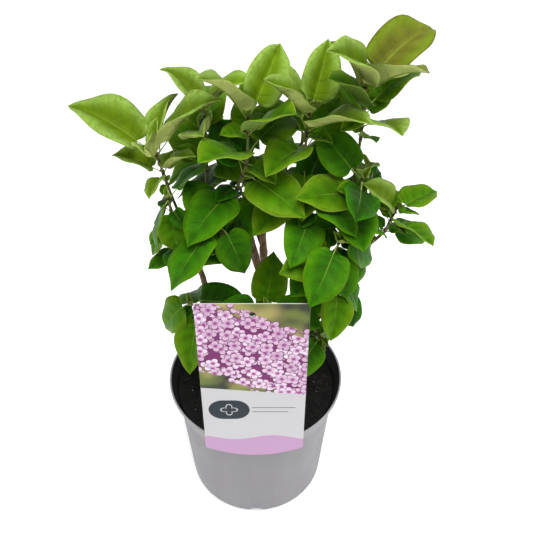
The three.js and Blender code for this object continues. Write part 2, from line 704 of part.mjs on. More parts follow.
// Each limb is cut clear of the limbs before it, so it starts where it leaves the one that carries it.
let frame = limbSolid(trunk, LIMB.trunkSides, LIMB.trunkSteps, CLEAR);
for (const [name, bough] of Object.entries(boughs)) {
  const solid = limbSolid(bough, LIMB.boughSides, LIMB.boughSteps).subtract(frame);
  bush.add(meshOf(name, largest(solid), FINISH.bark));
  frame = frame.add(limbSolid(bough, LIMB.boughSides, LIMB.boughSteps, CLEAR));
}

for (const [name, shoot] of Object.entries(shoots)) {
  let mass = limbSolid(shoot, STEM.sides, STEM.steps).subtract(frame);
  for (const leaf of shoot.leaves) mass = mass.add(leafSolid(leaf));
  bush.add(meshOf(name, largest(mass), FINISH.leaf));
  frame = frame.add(limbSolid(shoot, STEM.sides, STEM.steps, CLEAR));
}

export default bush;
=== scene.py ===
"""A young lilac bush in its nursery pot: pot, peat, plant label, bark, shoots and leaves.

The shoots and leaves grow by the same rule and from the same sizes as the solids they stand for.
Growth is worked out in millimetres; every mesh is in metres.
"""

import functools
import math
from types import SimpleNamespace

import bmesh
import bpy
import numpy as np
from bpy.props import FloatProperty, FloatVectorProperty, IntProperty, PointerProperty
from mathutils import Matrix, Vector, noise


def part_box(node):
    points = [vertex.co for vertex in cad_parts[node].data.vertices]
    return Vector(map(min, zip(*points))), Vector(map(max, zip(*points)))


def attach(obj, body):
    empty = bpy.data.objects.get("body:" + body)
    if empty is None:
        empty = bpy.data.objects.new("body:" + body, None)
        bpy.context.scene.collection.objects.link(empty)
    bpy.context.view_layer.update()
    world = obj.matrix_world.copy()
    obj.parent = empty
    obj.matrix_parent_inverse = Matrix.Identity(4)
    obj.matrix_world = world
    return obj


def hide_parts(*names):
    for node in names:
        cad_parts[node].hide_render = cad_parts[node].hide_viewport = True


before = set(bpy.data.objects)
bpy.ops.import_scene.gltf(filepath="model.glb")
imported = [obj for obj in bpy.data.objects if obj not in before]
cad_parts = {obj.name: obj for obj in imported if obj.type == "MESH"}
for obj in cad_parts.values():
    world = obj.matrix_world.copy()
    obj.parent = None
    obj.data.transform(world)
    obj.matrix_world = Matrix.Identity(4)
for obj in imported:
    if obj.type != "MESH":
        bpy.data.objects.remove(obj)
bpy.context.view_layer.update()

bl_info = {
    "name": "Potted Lilac Bush",
    "version": (1, 0, 0),
    "blender": (4, 5, 0),
    "location": "3D View > Sidebar > Lilac",
    "description": "Builds a young lilac bush in its nursery pot, piece by piece",
    "category": "Add Mesh",
}

MM = 0.001

# ---------------------------------------------------------------- sizes of the plant, in millimetres

# Each limb runs through its way points. Its radius is given at its foot and at its end.
TRUNK = {"foot": [4, 4, 125], "way": [[5, 4, 150]], "end": [6, 3, 172], "radius": [7.2, 6], "flare": 4.5}
BOUGHS = {
    "left": {
        "at": 0.55, "radius": [3, 2.1],
        "way": [[-20, 2, 192], [-38, 0, 236]], "end": [-51, 0, 300],
    },
    "stub": {
        "at": 0.3, "radius": [4.4, 3.9],
        "way": [[-20, -4, 182], [-31, -8, 222]], "end": [-20, -10, 250],
    },
    "centre": {
        "at": 0.9, "radius": [4.2, 3],
        "way": [[8, 1, 214], [6, -2, 262]], "end": [-3, -10, 320],
    },
    "middle": {
        "at": 0.8, "radius": [4.4, 3.3],
        "way": [[30, 6, 214], [53, 3, 262]], "end": [63, -2, 314],
    },
    "right": {
        "at": 0.6, "radius": [4.2, 3.4],
        "way": [[44, -2, 200], [73, -4, 254]], "end": [97, -10, 319],
    },
    "back": {
        "at": 0.7, "radius": [4.2, 3],
        "way": [[10, 26, 214], [8, 44, 256]], "end": [6, 52, 306],
    },
}

# The leafy shoots, in the order in which they take their space; a shoot's place in this order also starts
# its small irregularities. It leaves its bough, "from", at the share "at" of the bough's length and runs
# through its way points to its tip. "pairs" counts its leaf pairs, "first" is the share of its length below
# the lowest pair, "leaf" its longest blade, "size" the share of that, and "phase" the compass angle of the
# lowest pair. "open" is the angle between stem and petiole, "droop" how far the blades hang and "bow" how far
# they bend. "young" is 1 for a fresh, folded, upright leaf and 0 for a full-grown flat one. Where two numbers
# stand, the first is for the lowest pair and the second for the top one. "room" is the space that the leaves
# keep to.
SHOOTS = {
    "middle_front": {
        "from": "middle", "at": 0.94, "way": [[76, -18, 340]], "tip": [82, -24, 384],
        "pairs": 4, "first": 0.35, "leaf": 50, "size": [0.8, 1], "phase": 20,
        "open": [66, 66], "droop": [0.5, 0.1], "bow": [34, 16], "young": [0, 0],
        "room": [[20, -90, 320], [98, 30, 420]],
    },
    "front_left": {
        "from": "centre", "at": 0.88, "way": [[-19, -28, 328]], "tip": [-27, -36, 350],
        "pairs": 3, "first": 0.45, "leaf": 50, "size": [0.75, 1], "phase": 45,
        "open": [50, 60], "droop": [-0.2, 0.5], "bow": [34, 24], "young": [0, 0.1],
        "room": [[-70, -92, 284], [42, 0, 380]],
    },
    "right_front": {
        "from": "middle", "at": 0.74, "way": [[62, -30, 308]], "tip": [65, -50, 344],
        "pairs": 3, "first": 0.5, "leaf": 46, "size": [1, 1], "phase": 60,
        "open": [66, 60], "droop": [0.5, 0.6], "bow": [30, 24], "young": [0, 0],
        "room": [[0, -104, 284], [96, 0, 395]],
    },
    "tall": {
        "from": "middle", "at": 1, "way": [[76, -2, 352], [81, 0, 400]], "tip": [81, 0, 448],
        "pairs": 4, "first": 0.76, "leaf": 62, "size": [0.75, 0.9], "phase": 120,
        "open": [54, 40], "droop": [0.1, 0.1], "bow": [40, 50], "young": [0.4, 1],
        "room": [[40, -60, 380], [156, 40, 500]],
    },
    "middle_crown": {
        "from": "middle", "at": 0.9, "way": [[42, -2, 352], [40, 0, 388]], "tip": [42, -2, 424],
        "pairs": 6, "first": 0.34, "leaf": 55, "size": [0.85, 0.9], "phase": 135,
        "open": [62, 40], "droop": [0.5, 0], "bow": [34, 20], "young": [0.1, 1],
        "room": [[0, -66, 320], [96, 40, 480]],
    },
    "far_left": {
        "from": "left", "at": 1, "way": [[-65, -3, 358]], "tip": [-72, -5, 394],
        "pairs": 2, "first": 0.8, "leaf": 62, "size": [0.35, 1], "phase": 80,
        "open": [60, 52], "droop": [0.4, -0.1], "bow": [30, 40], "young": [0.4, 1],
        "room": [[-146, -60, 350], [-10, 60, 456]],
    },
    "left_crown": {
        "from": "left", "at": 0.92, "way": [[-38, 12, 352]], "tip": [-36, 12, 418],
        "pairs": 4, "first": 0.4, "leaf": 48, "size": [1, 0.9], "phase": 80,
        "open": [62, 34], "droop": [0.5, 0], "bow": [34, 56], "young": [0.1, 0.8],
        "room": [[-75, -50, 330], [14, 80, 452]],
    },
    "centre_crown": {
        "from": "centre", "at": 1, "way": [[-13, -10, 359], [-4, -12, 390]], "tip": [-3, -8, 426],
        "pairs": 5, "first": 0.4, "leaf": 54, "size": [0.9, 1], "phase": 45,
        "open": [60, 40], "droop": [0.5, 0], "bow": [34, 30], "young": [0, 0.8],
        "room": [[-60, -80, 330], [50, 60, 480]],
    },
    "left_mid": {
        "from": "left", "at": 0.86, "way": [[-60, -16, 320]], "tip": [-64, -20, 364],
        "pairs": 4, "first": 0.4, "leaf": 42, "size": [0.9, 1], "phase": 120,
        "open": [60, 60], "droop": [0.6, 0.6], "bow": [34, 30], "young": [0, 0],
        "room": [[-86, -80, 308], [-16, 40, 390]],
    },
    "right_low": {
        "from": "right", "at": 0.66, "way": [[70, -30, 276]], "tip": [66, -52, 308],
        "pairs": 3, "first": 0.5, "leaf": 35, "size": [1, 1], "phase": 0,
        "open": [60, 50], "droop": [0.9, 0.9], "bow": [40, 40], "young": [0.1, 0.3],
        "room": [[36, -104, 244], [90, 10, 334]],
    },
    "inner_right": {
        "from": "middle", "at": 0.82, "way": [[46, -18, 326]], "tip": [45, -28, 370],
        "pairs": 4, "first": 0.35, "leaf": 42, "size": [1, 1], "phase": 65,
        "open": [60, 60], "droop": [0.6, 0.5], "bow": [34, 24], "young": [0, 0],
        "room": [[5, -90, 310], [80, 30, 400]],
    },
    "right_side": {
        "from": "right", "at": 0.93, "way": [[106, -10, 324]], "tip": [113, -10, 346],
        "pairs": 3, "first": 0.5, "leaf": 42, "size": [0.8, 1], "phase": 20,
        "open": [70, 60], "droop": [0, 0.2], "bow": [20, 30], "young": [0.2, 0.7],
        "room": [[78, -60, 296], [152, 40, 384]],
    },
    "right_back": {
        "from": "right", "at": 0.85, "way": [[92, 12, 330]], "tip": [92, 18, 364],
        "pairs": 3, "first": 0.4, "leaf": 44, "size": [1, 1], "phase": 40,
        "open": [60, 50], "droop": [0.5, 0.3], "bow": [34, 40], "young": [0, 0.3],
        "room": [[50, -40, 300], [106, 80, 400]],
    },
    "left_side": {
        "from": "left", "at": 0.78, "way": [[-58, -2, 300]], "tip": [-66, -2, 323],
        "pairs": 2, "first": 0.6, "leaf": 36, "size": [1, 1], "phase": 80,
        "open": [60, 60], "droop": [0, -0.2], "bow": [30, 30], "young": [0.2, 0.4],
        "room": [[-98, -60, 292], [-30, 50, 350]],
    },
    "back_left": {
        "from": "back", "at": 0.9, "way": [], "tip": [-26, 54, 372],
        "pairs": 4, "first": 0.3, "leaf": 50, "size": [1, 0.9], "phase": 40,
        "open": [66, 42], "droop": [0.6, 0.2], "bow": [34, 50], "young": [0, 0.6],
        "room": [[-80, 0, 280], [40, 120, 405]],
    },
    "back_right": {
        "from": "back", "at": 1, "way": [], "tip": [40, 56, 366],
        "pairs": 4, "first": 0.3, "leaf": 50, "size": [1, 0.9], "phase": 10,
        "open": [66, 42], "droop": [0.6, 0.2], "bow": [34, 50], "young": [0, 0.6],
        "room": [[-20, 0, 280], [96, 120, 400]],
    },
    "back_low": {
        "from": "back", "at": 0.7, "way": [], "tip": [-16, 84, 310],
        "pairs": 3, "first": 0.4, "leaf": 48, "size": [1, 1], "phase": 30,
        "open": [64, 50], "droop": [0.7, 0.4], "bow": [34, 40], "young": [0, 0.3],
        "room": [[-80, 20, 240], [60, 130, 350]],
    },
    "foot_left": {
        "from": "stub", "at": 0.6, "way": [], "tip": [-53, -14, 246],
        "pairs": 3, "first": 0.4, "leaf": 45, "size": [1, 1], "phase": 0,
        "open": [66, 55], "droop": [0.8, 0.8], "bow": [34, 34], "young": [0, 0],
        "room": [[-84, -78, 150], [0, 50, 290]],
    },
    "foot_front": {
        "from": "centre", "at": 0.25, "way": [], "tip": [10, -40, 268],
        "pairs": 3, "first": 0.4, "leaf": 40, "size": [1, 1], "phase": 0,
        "open": [60, 50], "droop": [0.5, 0.5], "bow": [34, 34], "young": [0, 0],
        "room": [[-60, -82, 200], [70, 30, 298]],
    },
    "foot_right": {
        "from": "right", "at": 0.35, "way": [], "tip": [58, -44, 236],
        "pairs": 3, "first": 0.4, "leaf": 38, "size": [1, 1], "phase": 30,
        "open": [60, 50], "droop": [0.6, 0.6], "bow": [34, 34], "young": [0, 0.1],
        "room": [[16, -80, 196], [74, 30, 270]],
    },
    "right_mid": {
        "from": "right", "at": 0.8, "way": [], "tip": [76, -28, 324],
        "pairs": 3, "first": 0.4, "leaf": 42, "size": [1, 1], "phase": 30,
        "open": [60, 64], "droop": [0.4, 0.5], "bow": [34, 30], "young": [0, 0.2],
        "room": [[40, -96, 280], [112, 30, 362]],
    },
}

CLEAR = 0.3
STEM = {"foot": 1.9, "tip": 1.1}
LEAF = {
    "width": 0.76,
    "petiole": 0.3,
    "petiole_radius": 0.8,
    "thickness": 1.0,
    "fold": [10, 40],
    "outward": 0.3,
    "stations": [0.07, 0.3, 0.58, 0.83, 1],
    "rise": 0.5,
    "fall": 1.1,
    "tries": 14,
}
HULL = {"steps": 10, "spread": 1.35, "margin": 1.5, "sectors": 20, "depth": 70}
POT = {"rim": 84.5, "height": 140, "wall": 1.8}
SOIL = {"edge": 126, "crown": 128}
CARD = {"width": 87, "thickness": 0.8, "top": 315, "bottom": 126}
UP = np.array([0.0, 0.0, 1.0])
LIGHT = np.array([0.0, -0.36, 0.93])

# ---------------------------------------------------------------- small tools


def vec(point):
    return np.array(point, dtype=float)


def unit(v):
    return v / math.sqrt(v @ v)


def mix(a, b, t):
    return (1 - t) * a + t * b


def chance(*keys):
    """A seeded number from 0 to 1: the same keys always give the same number."""
    h = 2166136261
    for key in keys:
        h = ((h ^ (key + 101)) * 16777619) & 0xFFFFFFFF
        h ^= h >> 13
    h = (h * 2246822519) & 0xFFFFFFFF
    return (h ^ (h >> 15)) / 4294967296


def jitter(size, *keys):
    return (chance(*keys) - 0.5) * 2 * size


ANY_TURN = 6.28  # the widest angle drawn by chance, about a full turn


def bezier(a, b, c, t):
    """A point on the curve from a to c that bends towards b."""
    return (1 - t) ** 2 * a + 2 * t * (1 - t) * b + t**2 * c


def across(tangent):
    """The two directions across a stem: the first as near +X as it gets."""
    first = unit(np.array([1.0, 0, 0]) - tangent * tangent[0])
    return first, np.cross(tangent, first)


class Course:
    """A centripetal curve through points, walked by the share of its length."""

    DIVISIONS = 200

    def __init__(self, points):
        self.points = [vec(p) for p in points]
        places = np.array([self.at(i / self.DIVISIONS) for i in range(self.DIVISIONS + 1)])
        steps = np.sqrt(((places[1:] - places[:-1]) ** 2).sum(axis=1))
        self.lengths = np.concatenate([[0], np.cumsum(steps)])
        self.length = self.lengths[-1]

    def at(self, t):
        points = self.points
        last = len(points) - 1
        span = min(int(math.floor(last * t)), last - 1)
        w = last * t - span
        p1, p2 = points[span], points[span + 1]
        p0 = points[span - 1] if span > 0 else 2 * p1 - p2
        p3 = points[span + 2] if span + 2 <= last else 2 * p2 - p1
        d0, d1, d2 = (((b - a) @ (b - a)) ** 0.25 for a, b in ((p0, p1), (p1, p2), (p2, p3)))
        out = ((p1 - p0) / d0 - (p2 - p0) / (d0 + d1) + (p2 - p1) / d1) * d1
        into = ((p2 - p1) / d1 - (p3 - p1) / (d1 + d2) + (p3 - p2) / d2) * d1
        square = -3 * p1 + 3 * p2 - 2 * out - into
        cube = 2 * p1 - 2 * p2 + out + into
        return p1 + out * w + square * w**2 + cube * w**3

    def share(self, u):
        return float(np.interp(u * self.length, self.lengths, np.linspace(0, 1, self.DIVISIONS + 1)))

    def point(self, u):
        return self.at(self.share(u))

    def tangent(self, u):
        t = self.share(u)
        return unit(self.at(min(t + 1e-4, 1)) - self.at(max(t - 1e-4, 0)))


# ---------------------------------------------------------------- the growth rule


def limb_plan(name, foot, way, end, radius):
    return SimpleNamespace(name=name, course=Course([foot, *way, end]), radius=radius)


def plan_limbs():
    """The trunk, the boughs and the shoots' stems."""
    foot, end = TRUNK["radius"]

    def trunk_radius(t):
        return mix(foot, end, t) + TRUNK["flare"] * max(0, 1 - t / 0.35) ** 2

    trunk = limb_plan("trunk", TRUNK["foot"], TRUNK["way"], TRUNK["end"], trunk_radius)
    boughs = {}
    for name, bough in BOUGHS.items():
        start = trunk.course.point(bough["at"])
        radius = functools.partial(mix, *bough["radius"])
        boughs[name] = limb_plan("bough_" + name, start, bough["way"], bough["end"], radius)
    shoots = {}
    for place, (name, shoot) in enumerate(SHOOTS.items()):
        start = boughs[shoot["from"]].course.point(min(shoot["at"], 0.995))
        radius = functools.partial(mix, STEM["foot"], STEM["tip"])
        plan = limb_plan("shoot_" + name, start, shoot["way"], shoot["tip"], radius)
        plan.place, plan.leaves = place, []
        shoots[name] = plan
        vars(plan).update({k: v for k, v in shoot.items() if k not in ("from", "way", "tip")})
    return trunk, boughs, shoots


SMALL_DRAWS = 40  # sets the chances drawn for small leaves apart from those for full ones


def plan_leaf(shoot, pair, side, attempt, share=None, scale=1.0):
    """One leaf of a pair. Pairs stand crosswise to the pair below. Later tries swing, tilt and shorten it."""
    rank = pair / (shoot.pairs - 1) if shoot.pairs > 1 else 1
    keys = [shoot.place, pair if share is None else pair + SMALL_DRAWS, side, attempt]
    if share is None:
        share = mix(shoot.first, 1, 1 - (1 - rank) ** 1.2) * 0.985
    node, tangent = shoot.course.point(share), shoot.course.tangent(share)
    east, north = across(tangent)
    swing = jitter(10, *keys, 1) + jitter(8 * attempt, *keys, 2)
    around = math.radians(shoot.phase + 90 * pair + 180 * side + swing)
    out = east * math.cos(around) + north * math.sin(around)
    spread = math.radians(mix(*shoot.open, rank) + jitter(6, *keys, 3) + jitter(5 * attempt, *keys, 4))
    rise = tangent * math.cos(spread) + out * math.sin(spread)
    droop = mix(*shoot.droop, rank) + jitter(0.12 * (1 + attempt), *keys, 5)
    along = unit(rise - UP * droop)
    size = mix(*shoot.size, rank) + jitter(0.06, *keys, 6)
    length = shoot.leaf * size * 0.98**attempt * scale
    petiole = length * LEAF["petiole"]
    base = node + rise * petiole * 0.6 + along * petiole * 0.4
    young = mix(*shoot.young, rank)
    face = tangent * 0.4 + mix(LIGHT, UP, young) * 0.8
    face = face + unit(np.array([base[0], base[1], 0])) * LEAF["outward"]
    face = unit(face - along * (face @ along))
    roll = math.radians(jitter(16 + 5 * attempt, *keys, 7))
    face = face * math.cos(roll) + np.cross(along, face) * math.sin(roll)
    return SimpleNamespace(
        node=node,
        rise=rise,
        base=base,
        along=along,
        face=face,
        length=length,
        half_width=length * LEAF["width"] / 2,
        fold=math.radians(mix(*LEAF["fold"], young) + jitter(6, *keys, 8)),
        bow=math.radians(mix(*shoot.bow, rank) + jitter(12, *keys, 9)),
        young=young,
        keys=keys,
    )


def outline(t):
    """Half the blade's breadth at a share of its length, 1 at the widest place."""
    peak = LEAF["rise"] / (LEAF["rise"] + LEAF["fall"])
    return (t / peak) ** LEAF["rise"] * ((1 - t) / (1 - peak)) ** LEAF["fall"]


def bend_at(leaf, share):
    """How far the midrib has bent down at a share of the blade's length."""
    return leaf.bow * share**1.2


def leaf_hull(leaf):
    """The skin that a leaf keeps for itself, a little larger than the leaf."""
    side = np.cross(leaf.along, leaf.face)
    half = LEAF["thickness"] / 2 + CLEAR
    stalk = unit(leaf.base - leaf.node)
    root = STEM["foot"] + 0.5
    thin = LEAF["petiole_radius"] + CLEAR
    round_petiole = [-side * thin, leaf.face * thin, side * thin, -leaf.face * thin]
    rooted = leaf.node + stalk * (root + 1.5)
    rings = [[centre + turn for turn in round_petiole] for centre in (rooted, leaf.base)]
    middle, last = leaf.base, 0
    for t in LEAF["stations"]:
        step = (t - last) * leaf.length
        turn = bend_at(leaf, (t + last) / 2)
        middle = middle + leaf.along * step * math.cos(turn) - leaf.face * step * math.sin(turn)
        bow = bend_at(leaf, t)
        normal = leaf.face * math.cos(bow) + leaf.along * math.sin(bow)
        reach = leaf.half_width * outline(t) if t < 1 else 0
        flat, lift = side * reach * math.cos(leaf.fold), normal * reach * math.sin(leaf.fold)
        if t < 1:
            crown = normal * half
            rings.append([middle - flat + lift, middle + crown, middle + flat + lift, middle - crown])
        last = t
    start = leaf.node + stalk * root
    triangles, edges = [], []
    for k in range(4):
        n = (k + 1) % 4
        triangles.append([start, rings[0][n], rings[0][k]])
        triangles.append([rings[-1][k], rings[-1][n], middle])
        for below, above in zip(rings, rings[1:]):
            triangles.append([below[k], above[n], above[k]])
            triangles.append([below[k], below[n], above[n]])
            edges.append([below[k], above[k]])
        edges.append([rings[-1][k], middle])
        edges += [[ring[k], ring[n]] for ring in rings[2:]]
    return hull_of(triangles, edges)


def hull_of(triangles, edges):
    triangles, edges = np.array(triangles), np.array(edges)
    corners = triangles.reshape(-1, 3)
    low, high = corners.min(axis=0), corners.max(axis=0)
    return SimpleNamespace(triangles=triangles, edges=edges, low=low, high=high)


def pierces(edges, triangles):
    """Whether any of the edges goes through any of the triangles."""
    p = triangles[None, :, 0]
    to_q, to_r = triangles[None, :, 1] - p, triangles[None, :, 2] - p
    a = edges[:, None, 0]
    line = edges[:, None, 1] - a
    line_by_r = np.cross(line, to_r)
    det = (to_q * line_by_r).sum(axis=2)
    sound = np.abs(det) >= 1e-9
    det = np.where(sound, det, 1)
    to_a = a - p
    u = (to_a * line_by_r).sum(axis=2) / det
    a_by_q = np.cross(to_a, to_q)
    v = (line * a_by_q).sum(axis=2) / det
    t = (to_r * a_by_q).sum(axis=2) / det
    return bool(np.any(sound & (u >= 0) & (u <= 1) & (v >= 0) & (u + v <= 1) & (t > 0) & (t < 1)))


def crosses(one, other):
    if np.any(one.low > other.high) or np.any(other.low > one.high):
        return False
    return pierces(one.edges, other.triangles) or pierces(other.edges, one.triangles)


def limb_hull(plan):
    """A limb as a three-sided skin a little thicker than its bark."""
    steps = HULL["steps"]
    rings = []
    for i in range(steps + 1):
        size = (plan.radius(i / steps) + CLEAR) * HULL["spread"]
        east, north = across(plan.course.tangent(i / steps))
        turns = [2 * math.pi * k / 3 for k in range(3)]
        centre = plan.course.point(i / steps)
        rings.append([centre + east * size * math.cos(a) + north * size * math.sin(a) for a in turns])
    triangles, edges = [], []
    for below, above in zip(rings, rings[1:]):
        for k in range(3):
            n = (k + 1) % 3
            triangles += [[below[k], above[k], above[n]], [below[k], above[n], below[n]]]
            edges += [[below[k], above[k]], [above[k], above[n]]]
    return hull_of(triangles, edges)


def pot_hull():
    """The pot's wall, the soil and the label card as coarse skins."""
    margin, sectors = HULL["margin"], HULL["sectors"]

    def rim(r, z, i):
        turn = 2 * math.pi * i / sectors
        return vec([r * math.cos(turn), r * math.sin(turn), z])

    triangles, edges = [], []
    for i in range(sectors):
        for r in (POT["rim"] + margin, POT["rim"] - POT["wall"] - margin):
            a, b = (rim(r, POT["height"] + margin, k) for k in (i, i + 1))
            c, d = (rim(r - 2 * margin, POT["height"] - HULL["depth"], k) for k in (i, i + 1))
            triangles += [[a, b, c], [b, c, d]]
            edges.append([a, b])
        edge = [rim(POT["rim"] - POT["wall"], SOIL["edge"] + margin, k) for k in (i, i + 1)]
        triangles.append([rim(0, SOIL["crown"] + margin, 0), *edge])
    half = CARD["width"] / 2 + margin
    for y in (margin - POT["rim"], -POT["rim"] - CARD["thickness"] - margin):
        a, b = vec([-half, y, CARD["bottom"]]), vec([half, y, CARD["bottom"]])
        c, d = vec([-half, y, CARD["top"] + margin]), vec([half, y, CARD["top"] + margin])
        triangles += [[a, b, c], [b, c, d]]
        edges += [[a, c], [b, d], [c, d]]
    return hull_of(triangles, edges)


def take_space(shoot, own, taken, *order, **changes):
    """Adds the first try of a leaf that keeps to the shoot's room and crosses nothing."""
    low, high = vec(shoot.room[0]), vec(shoot.room[1])
    for attempt in range(LEAF["tries"]):
        leaf = plan_leaf(shoot, *order, attempt, **changes)
        hull = leaf_hull(leaf)
        if np.any(hull.low < low) or np.any(hull.high > high):
            continue
        if any(other is not own and crosses(hull, other) for other in taken):
            continue
        taken.append(hull)
        shoot.leaves.append(leaf)
        return


SMALL_LEAVES = [(0.18, 0.42), (0.5, 0.5), (0.82, 0.42)]  # share between two pairs, share of the full size


@functools.cache
def grown_bush():
    """Trunk, boughs and shoots, each shoot with its leaves. Small leaves fill in after all full ones."""
    trunk, boughs, shoots = plan_limbs()
    limbs = [trunk, *boughs.values(), *shoots.values()]
    taken = [pot_hull()] + [limb_hull(plan) for plan in limbs]
    own = {plan.name: taken[i + 1] for i, plan in enumerate(limbs)}
    for shoot in shoots.values():
        for pair in range(shoot.pairs - 1, -1, -1):
            for side in (0, 1):
                take_space(shoot, own[shoot.name], taken, pair, side)
    for shoot in shoots.values():
        for pair, (place, scale) in enumerate(SMALL_LEAVES):
            share = mix(shoot.first * 0.8, 1, place)
            for side in (0, 1):
                take_space(shoot, own[shoot.name], taken, pair, side, share=share, scale=scale)
    return trunk, boughs, shoots


# ---------------------------------------------------------------- shapes shared by the pieces

# Each row of a blade runs along a side vein: where it leaves the midrib, how far along its end on the
# margin lies, both as shares of the blade's length, and the margin's breadth as a share of the widest.
BLADE = [
    (0.0, 0.0, 0.0),
    (0.0, -0.055, 0.3),
    (0.005, -0.035, 0.6),
    (0.03, 0.06, 0.89),
    (0.1, 0.25, 1.03),
    (0.24, 0.45, 0.98),
    (0.44, 0.65, 0.78),
    (0.66, 0.82, 0.44),
    (0.84, 0.93, 0.16),
    (1.0, 1.0, 0.0),
]
BLADE_ROWS, BLADE_COLUMNS = 22, 10
BLADE_STEPS, MIDRIB_STEPS = 120, 64  # how finely the margin and the bent midrib are worked out
VEIN_SWEEP = 1.35  # the side veins run forward as they near the margin


@functools.cache
def blade_course():
    course = Course(BLADE)
    shares = np.linspace(0, 1, BLADE_STEPS + 1)
    return shares, np.array([course.at(t) for t in shares])


def normals_at(leaf, shares):
    """Which way the upper face looks at shares of the bent blade's length."""
    bend = bend_at(leaf, shares)
    return np.outer(np.cos(bend), leaf.face) + np.outer(np.sin(bend), leaf.along)


def blade_surface(leaf, settings, v, q):
    """Points on a leaf's upper face at v from -1 to 1 across and q from 0 to 1 along the veins' feet."""
    shares, table = blade_course()
    rib, far, breadth = (np.interp(q, shares, table[:, i]) for i in range(3))
    out = np.abs(v)
    along = rib + (far - rib) * out**VEIN_SWEEP
    reach = breadth * out * leaf.half_width * settings.breadth
    # the midrib bends down towards the tip
    t = np.linspace(0, 1, MIDRIB_STEPS + 1)
    turn = bend_at(leaf, (t[1:] + t[:-1]) / 2)
    forward = np.concatenate([[0], np.cumsum(np.cos(turn) / MIDRIB_STEPS)]) * leaf.length
    down = np.concatenate([[0], np.cumsum(np.sin(turn) / MIDRIB_STEPS)]) * leaf.length
    ahead = np.interp(along, t, forward) + np.minimum(along, 0) * leaf.length
    drop = np.interp(along, t, down)
    # the halves fold up, flatten towards the margin and wave a little
    seed = ANY_TURN * chance(*leaf.keys, 30)
    slope = math.sin(leaf.fold) * (1 - 0.35 * out**2)
    ripple = np.sin(2 * math.pi * 2.6 * q + seed + 1.3 * np.sign(v))
    wave = settings.wave * leaf.half_width * out**2 * np.minimum(breadth * 1.3, 1) * ripple
    veins = settings.veins * q
    puff = (0.5 - 0.5 * np.cos(2 * math.pi * veins)) * np.sin(math.pi * np.clip(out, 0, 1)) ** 0.7
    groove = -0.35 * np.exp(-((out / 0.12) ** 2))
    lift = reach * slope + wave + settings.puff / MM * (puff * breadth + groove)
    twist = math.radians(14) * (chance(*leaf.keys, 31) - 0.5) * along
    flat = np.sign(v) * reach * math.cos(leaf.fold)
    flat, lift = flat * np.cos(twist) - lift * np.sin(twist), lift * np.cos(twist) + flat * np.sin(twist)
    side = np.cross(leaf.along, leaf.face)
    normal = normals_at(leaf, np.clip(along, 0, 1))
    middle = leaf.base + np.outer(ahead, leaf.along) - np.outer(drop, leaf.face)
    return middle + np.outer(flat, side) + normal * lift[:, None]


def dress(verts, material):
    """Shades the faces round the vertices smooth and gives them their finish."""
    for face in {f for v in verts for f in v.link_faces}:
        face.material_index = material
        face.smooth = True


def add_blade(bm, leaf, settings, tint):
    made = bmesh.ops.create_grid(
        bm, x_segments=BLADE_COLUMNS, y_segments=BLADE_ROWS, size=1, calc_uvs=True
    )
    flat = np.array([v.co for v in made["verts"]])
    places = blade_surface(leaf, settings, flat[:, 0], (flat[:, 1] + 1) / 2)
    for vertex, place in zip(made["verts"], places):
        vertex.co = place * MM
    dress(made["verts"], tint)


def add_tube(bm, points, radii, sides, material=0):
    """A closed tube round a line of points, as a grid rolled up; its ends narrow to a point."""
    points, radii = np.array(points), np.array(radii)
    points = np.concatenate([points[:1], points, points[-1:]])
    radii = np.concatenate([[0], radii, [0]])
    rows = len(points) - 1
    made = bmesh.ops.create_grid(bm, x_segments=sides, y_segments=rows, size=1, calc_uvs=True)
    frames = []
    for i in range(1, rows):
        tangent = unit(points[min(i + 1, rows - 1)] - points[max(i - 1, 1)])
        frames.append(across(tangent))
    frames = [frames[0], *frames, frames[-1]]
    for vertex in made["verts"]:
        row = round((vertex.co.y + 1) / 2 * rows)
        turn = math.pi * (vertex.co.x + 1)
        east, north = frames[row]
        place = points[row] + (east * math.cos(turn) + north * math.sin(turn)) * radii[row]
        vertex.co = place * MM
    dress(made["verts"], material)
    return made["verts"]


def finish_piece(name, bm, slot, *replaced, materials=(), weld=1e-6, recalculate=True):
    """Makes a named object of a bmesh, gives it its finishes and puts it on the frame."""
    bmesh.ops.remove_doubles(bm, verts=bm.verts, dist=weld)
    bmesh.ops.dissolve_degenerate(bm, edges=bm.edges, dist=weld / 10)
    if recalculate:
        bmesh.ops.recalc_face_normals(bm, faces=bm.faces)
    mesh = bpy.data.meshes.new(name)
    bm.to_mesh(mesh)
    bm.free()
    return place_mesh(name, mesh, slot, *replaced, materials=materials)


def place_mesh(name, mesh, slot, *replaced, materials=()):
    for material in materials:
        mesh.materials.append(material)
    piece = bpy.data.objects.new(name, mesh)
    bpy.context.scene.collection.objects.link(piece)
    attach(piece, "root")
    if replaced:
        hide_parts(*replaced)
    return piece


def crease(bm, angle):
    """Keeps the edges sharp where two faces meet at more than the angle."""
    for edge in bm.edges:
        if len(edge.link_faces) == 2 and edge.calc_face_angle(0) > math.radians(angle):
            edge.smooth = False


def uv_bmesh():
    bm = bmesh.new()
    bm.loops.layers.uv.new("UVMap")
    return bm


# ---------------------------------------------------------------- finishes


def linear(colour):
    """The scene-linear colour of one that is given as it shows on a screen."""
    return [c / 12.92 if c <= 0.04045 else ((c + 0.055) / 1.055) ** 2.4 for c in colour] + [1.0]


def darker(colour, share):
    return [c * share for c in colour]


def add(tree, kind, inputs=None, **settings):
    """A new shader node with its settings, values and links."""
    node = tree.nodes.new(kind)
    for key, value in settings.items():
        setattr(node, key, value)
    for key, value in (inputs or {}).items():
        socket = node.inputs[key]
        if isinstance(value, bpy.types.NodeSocket):
            tree.links.new(value, socket)
        else:
            socket.default_value = value
    return node


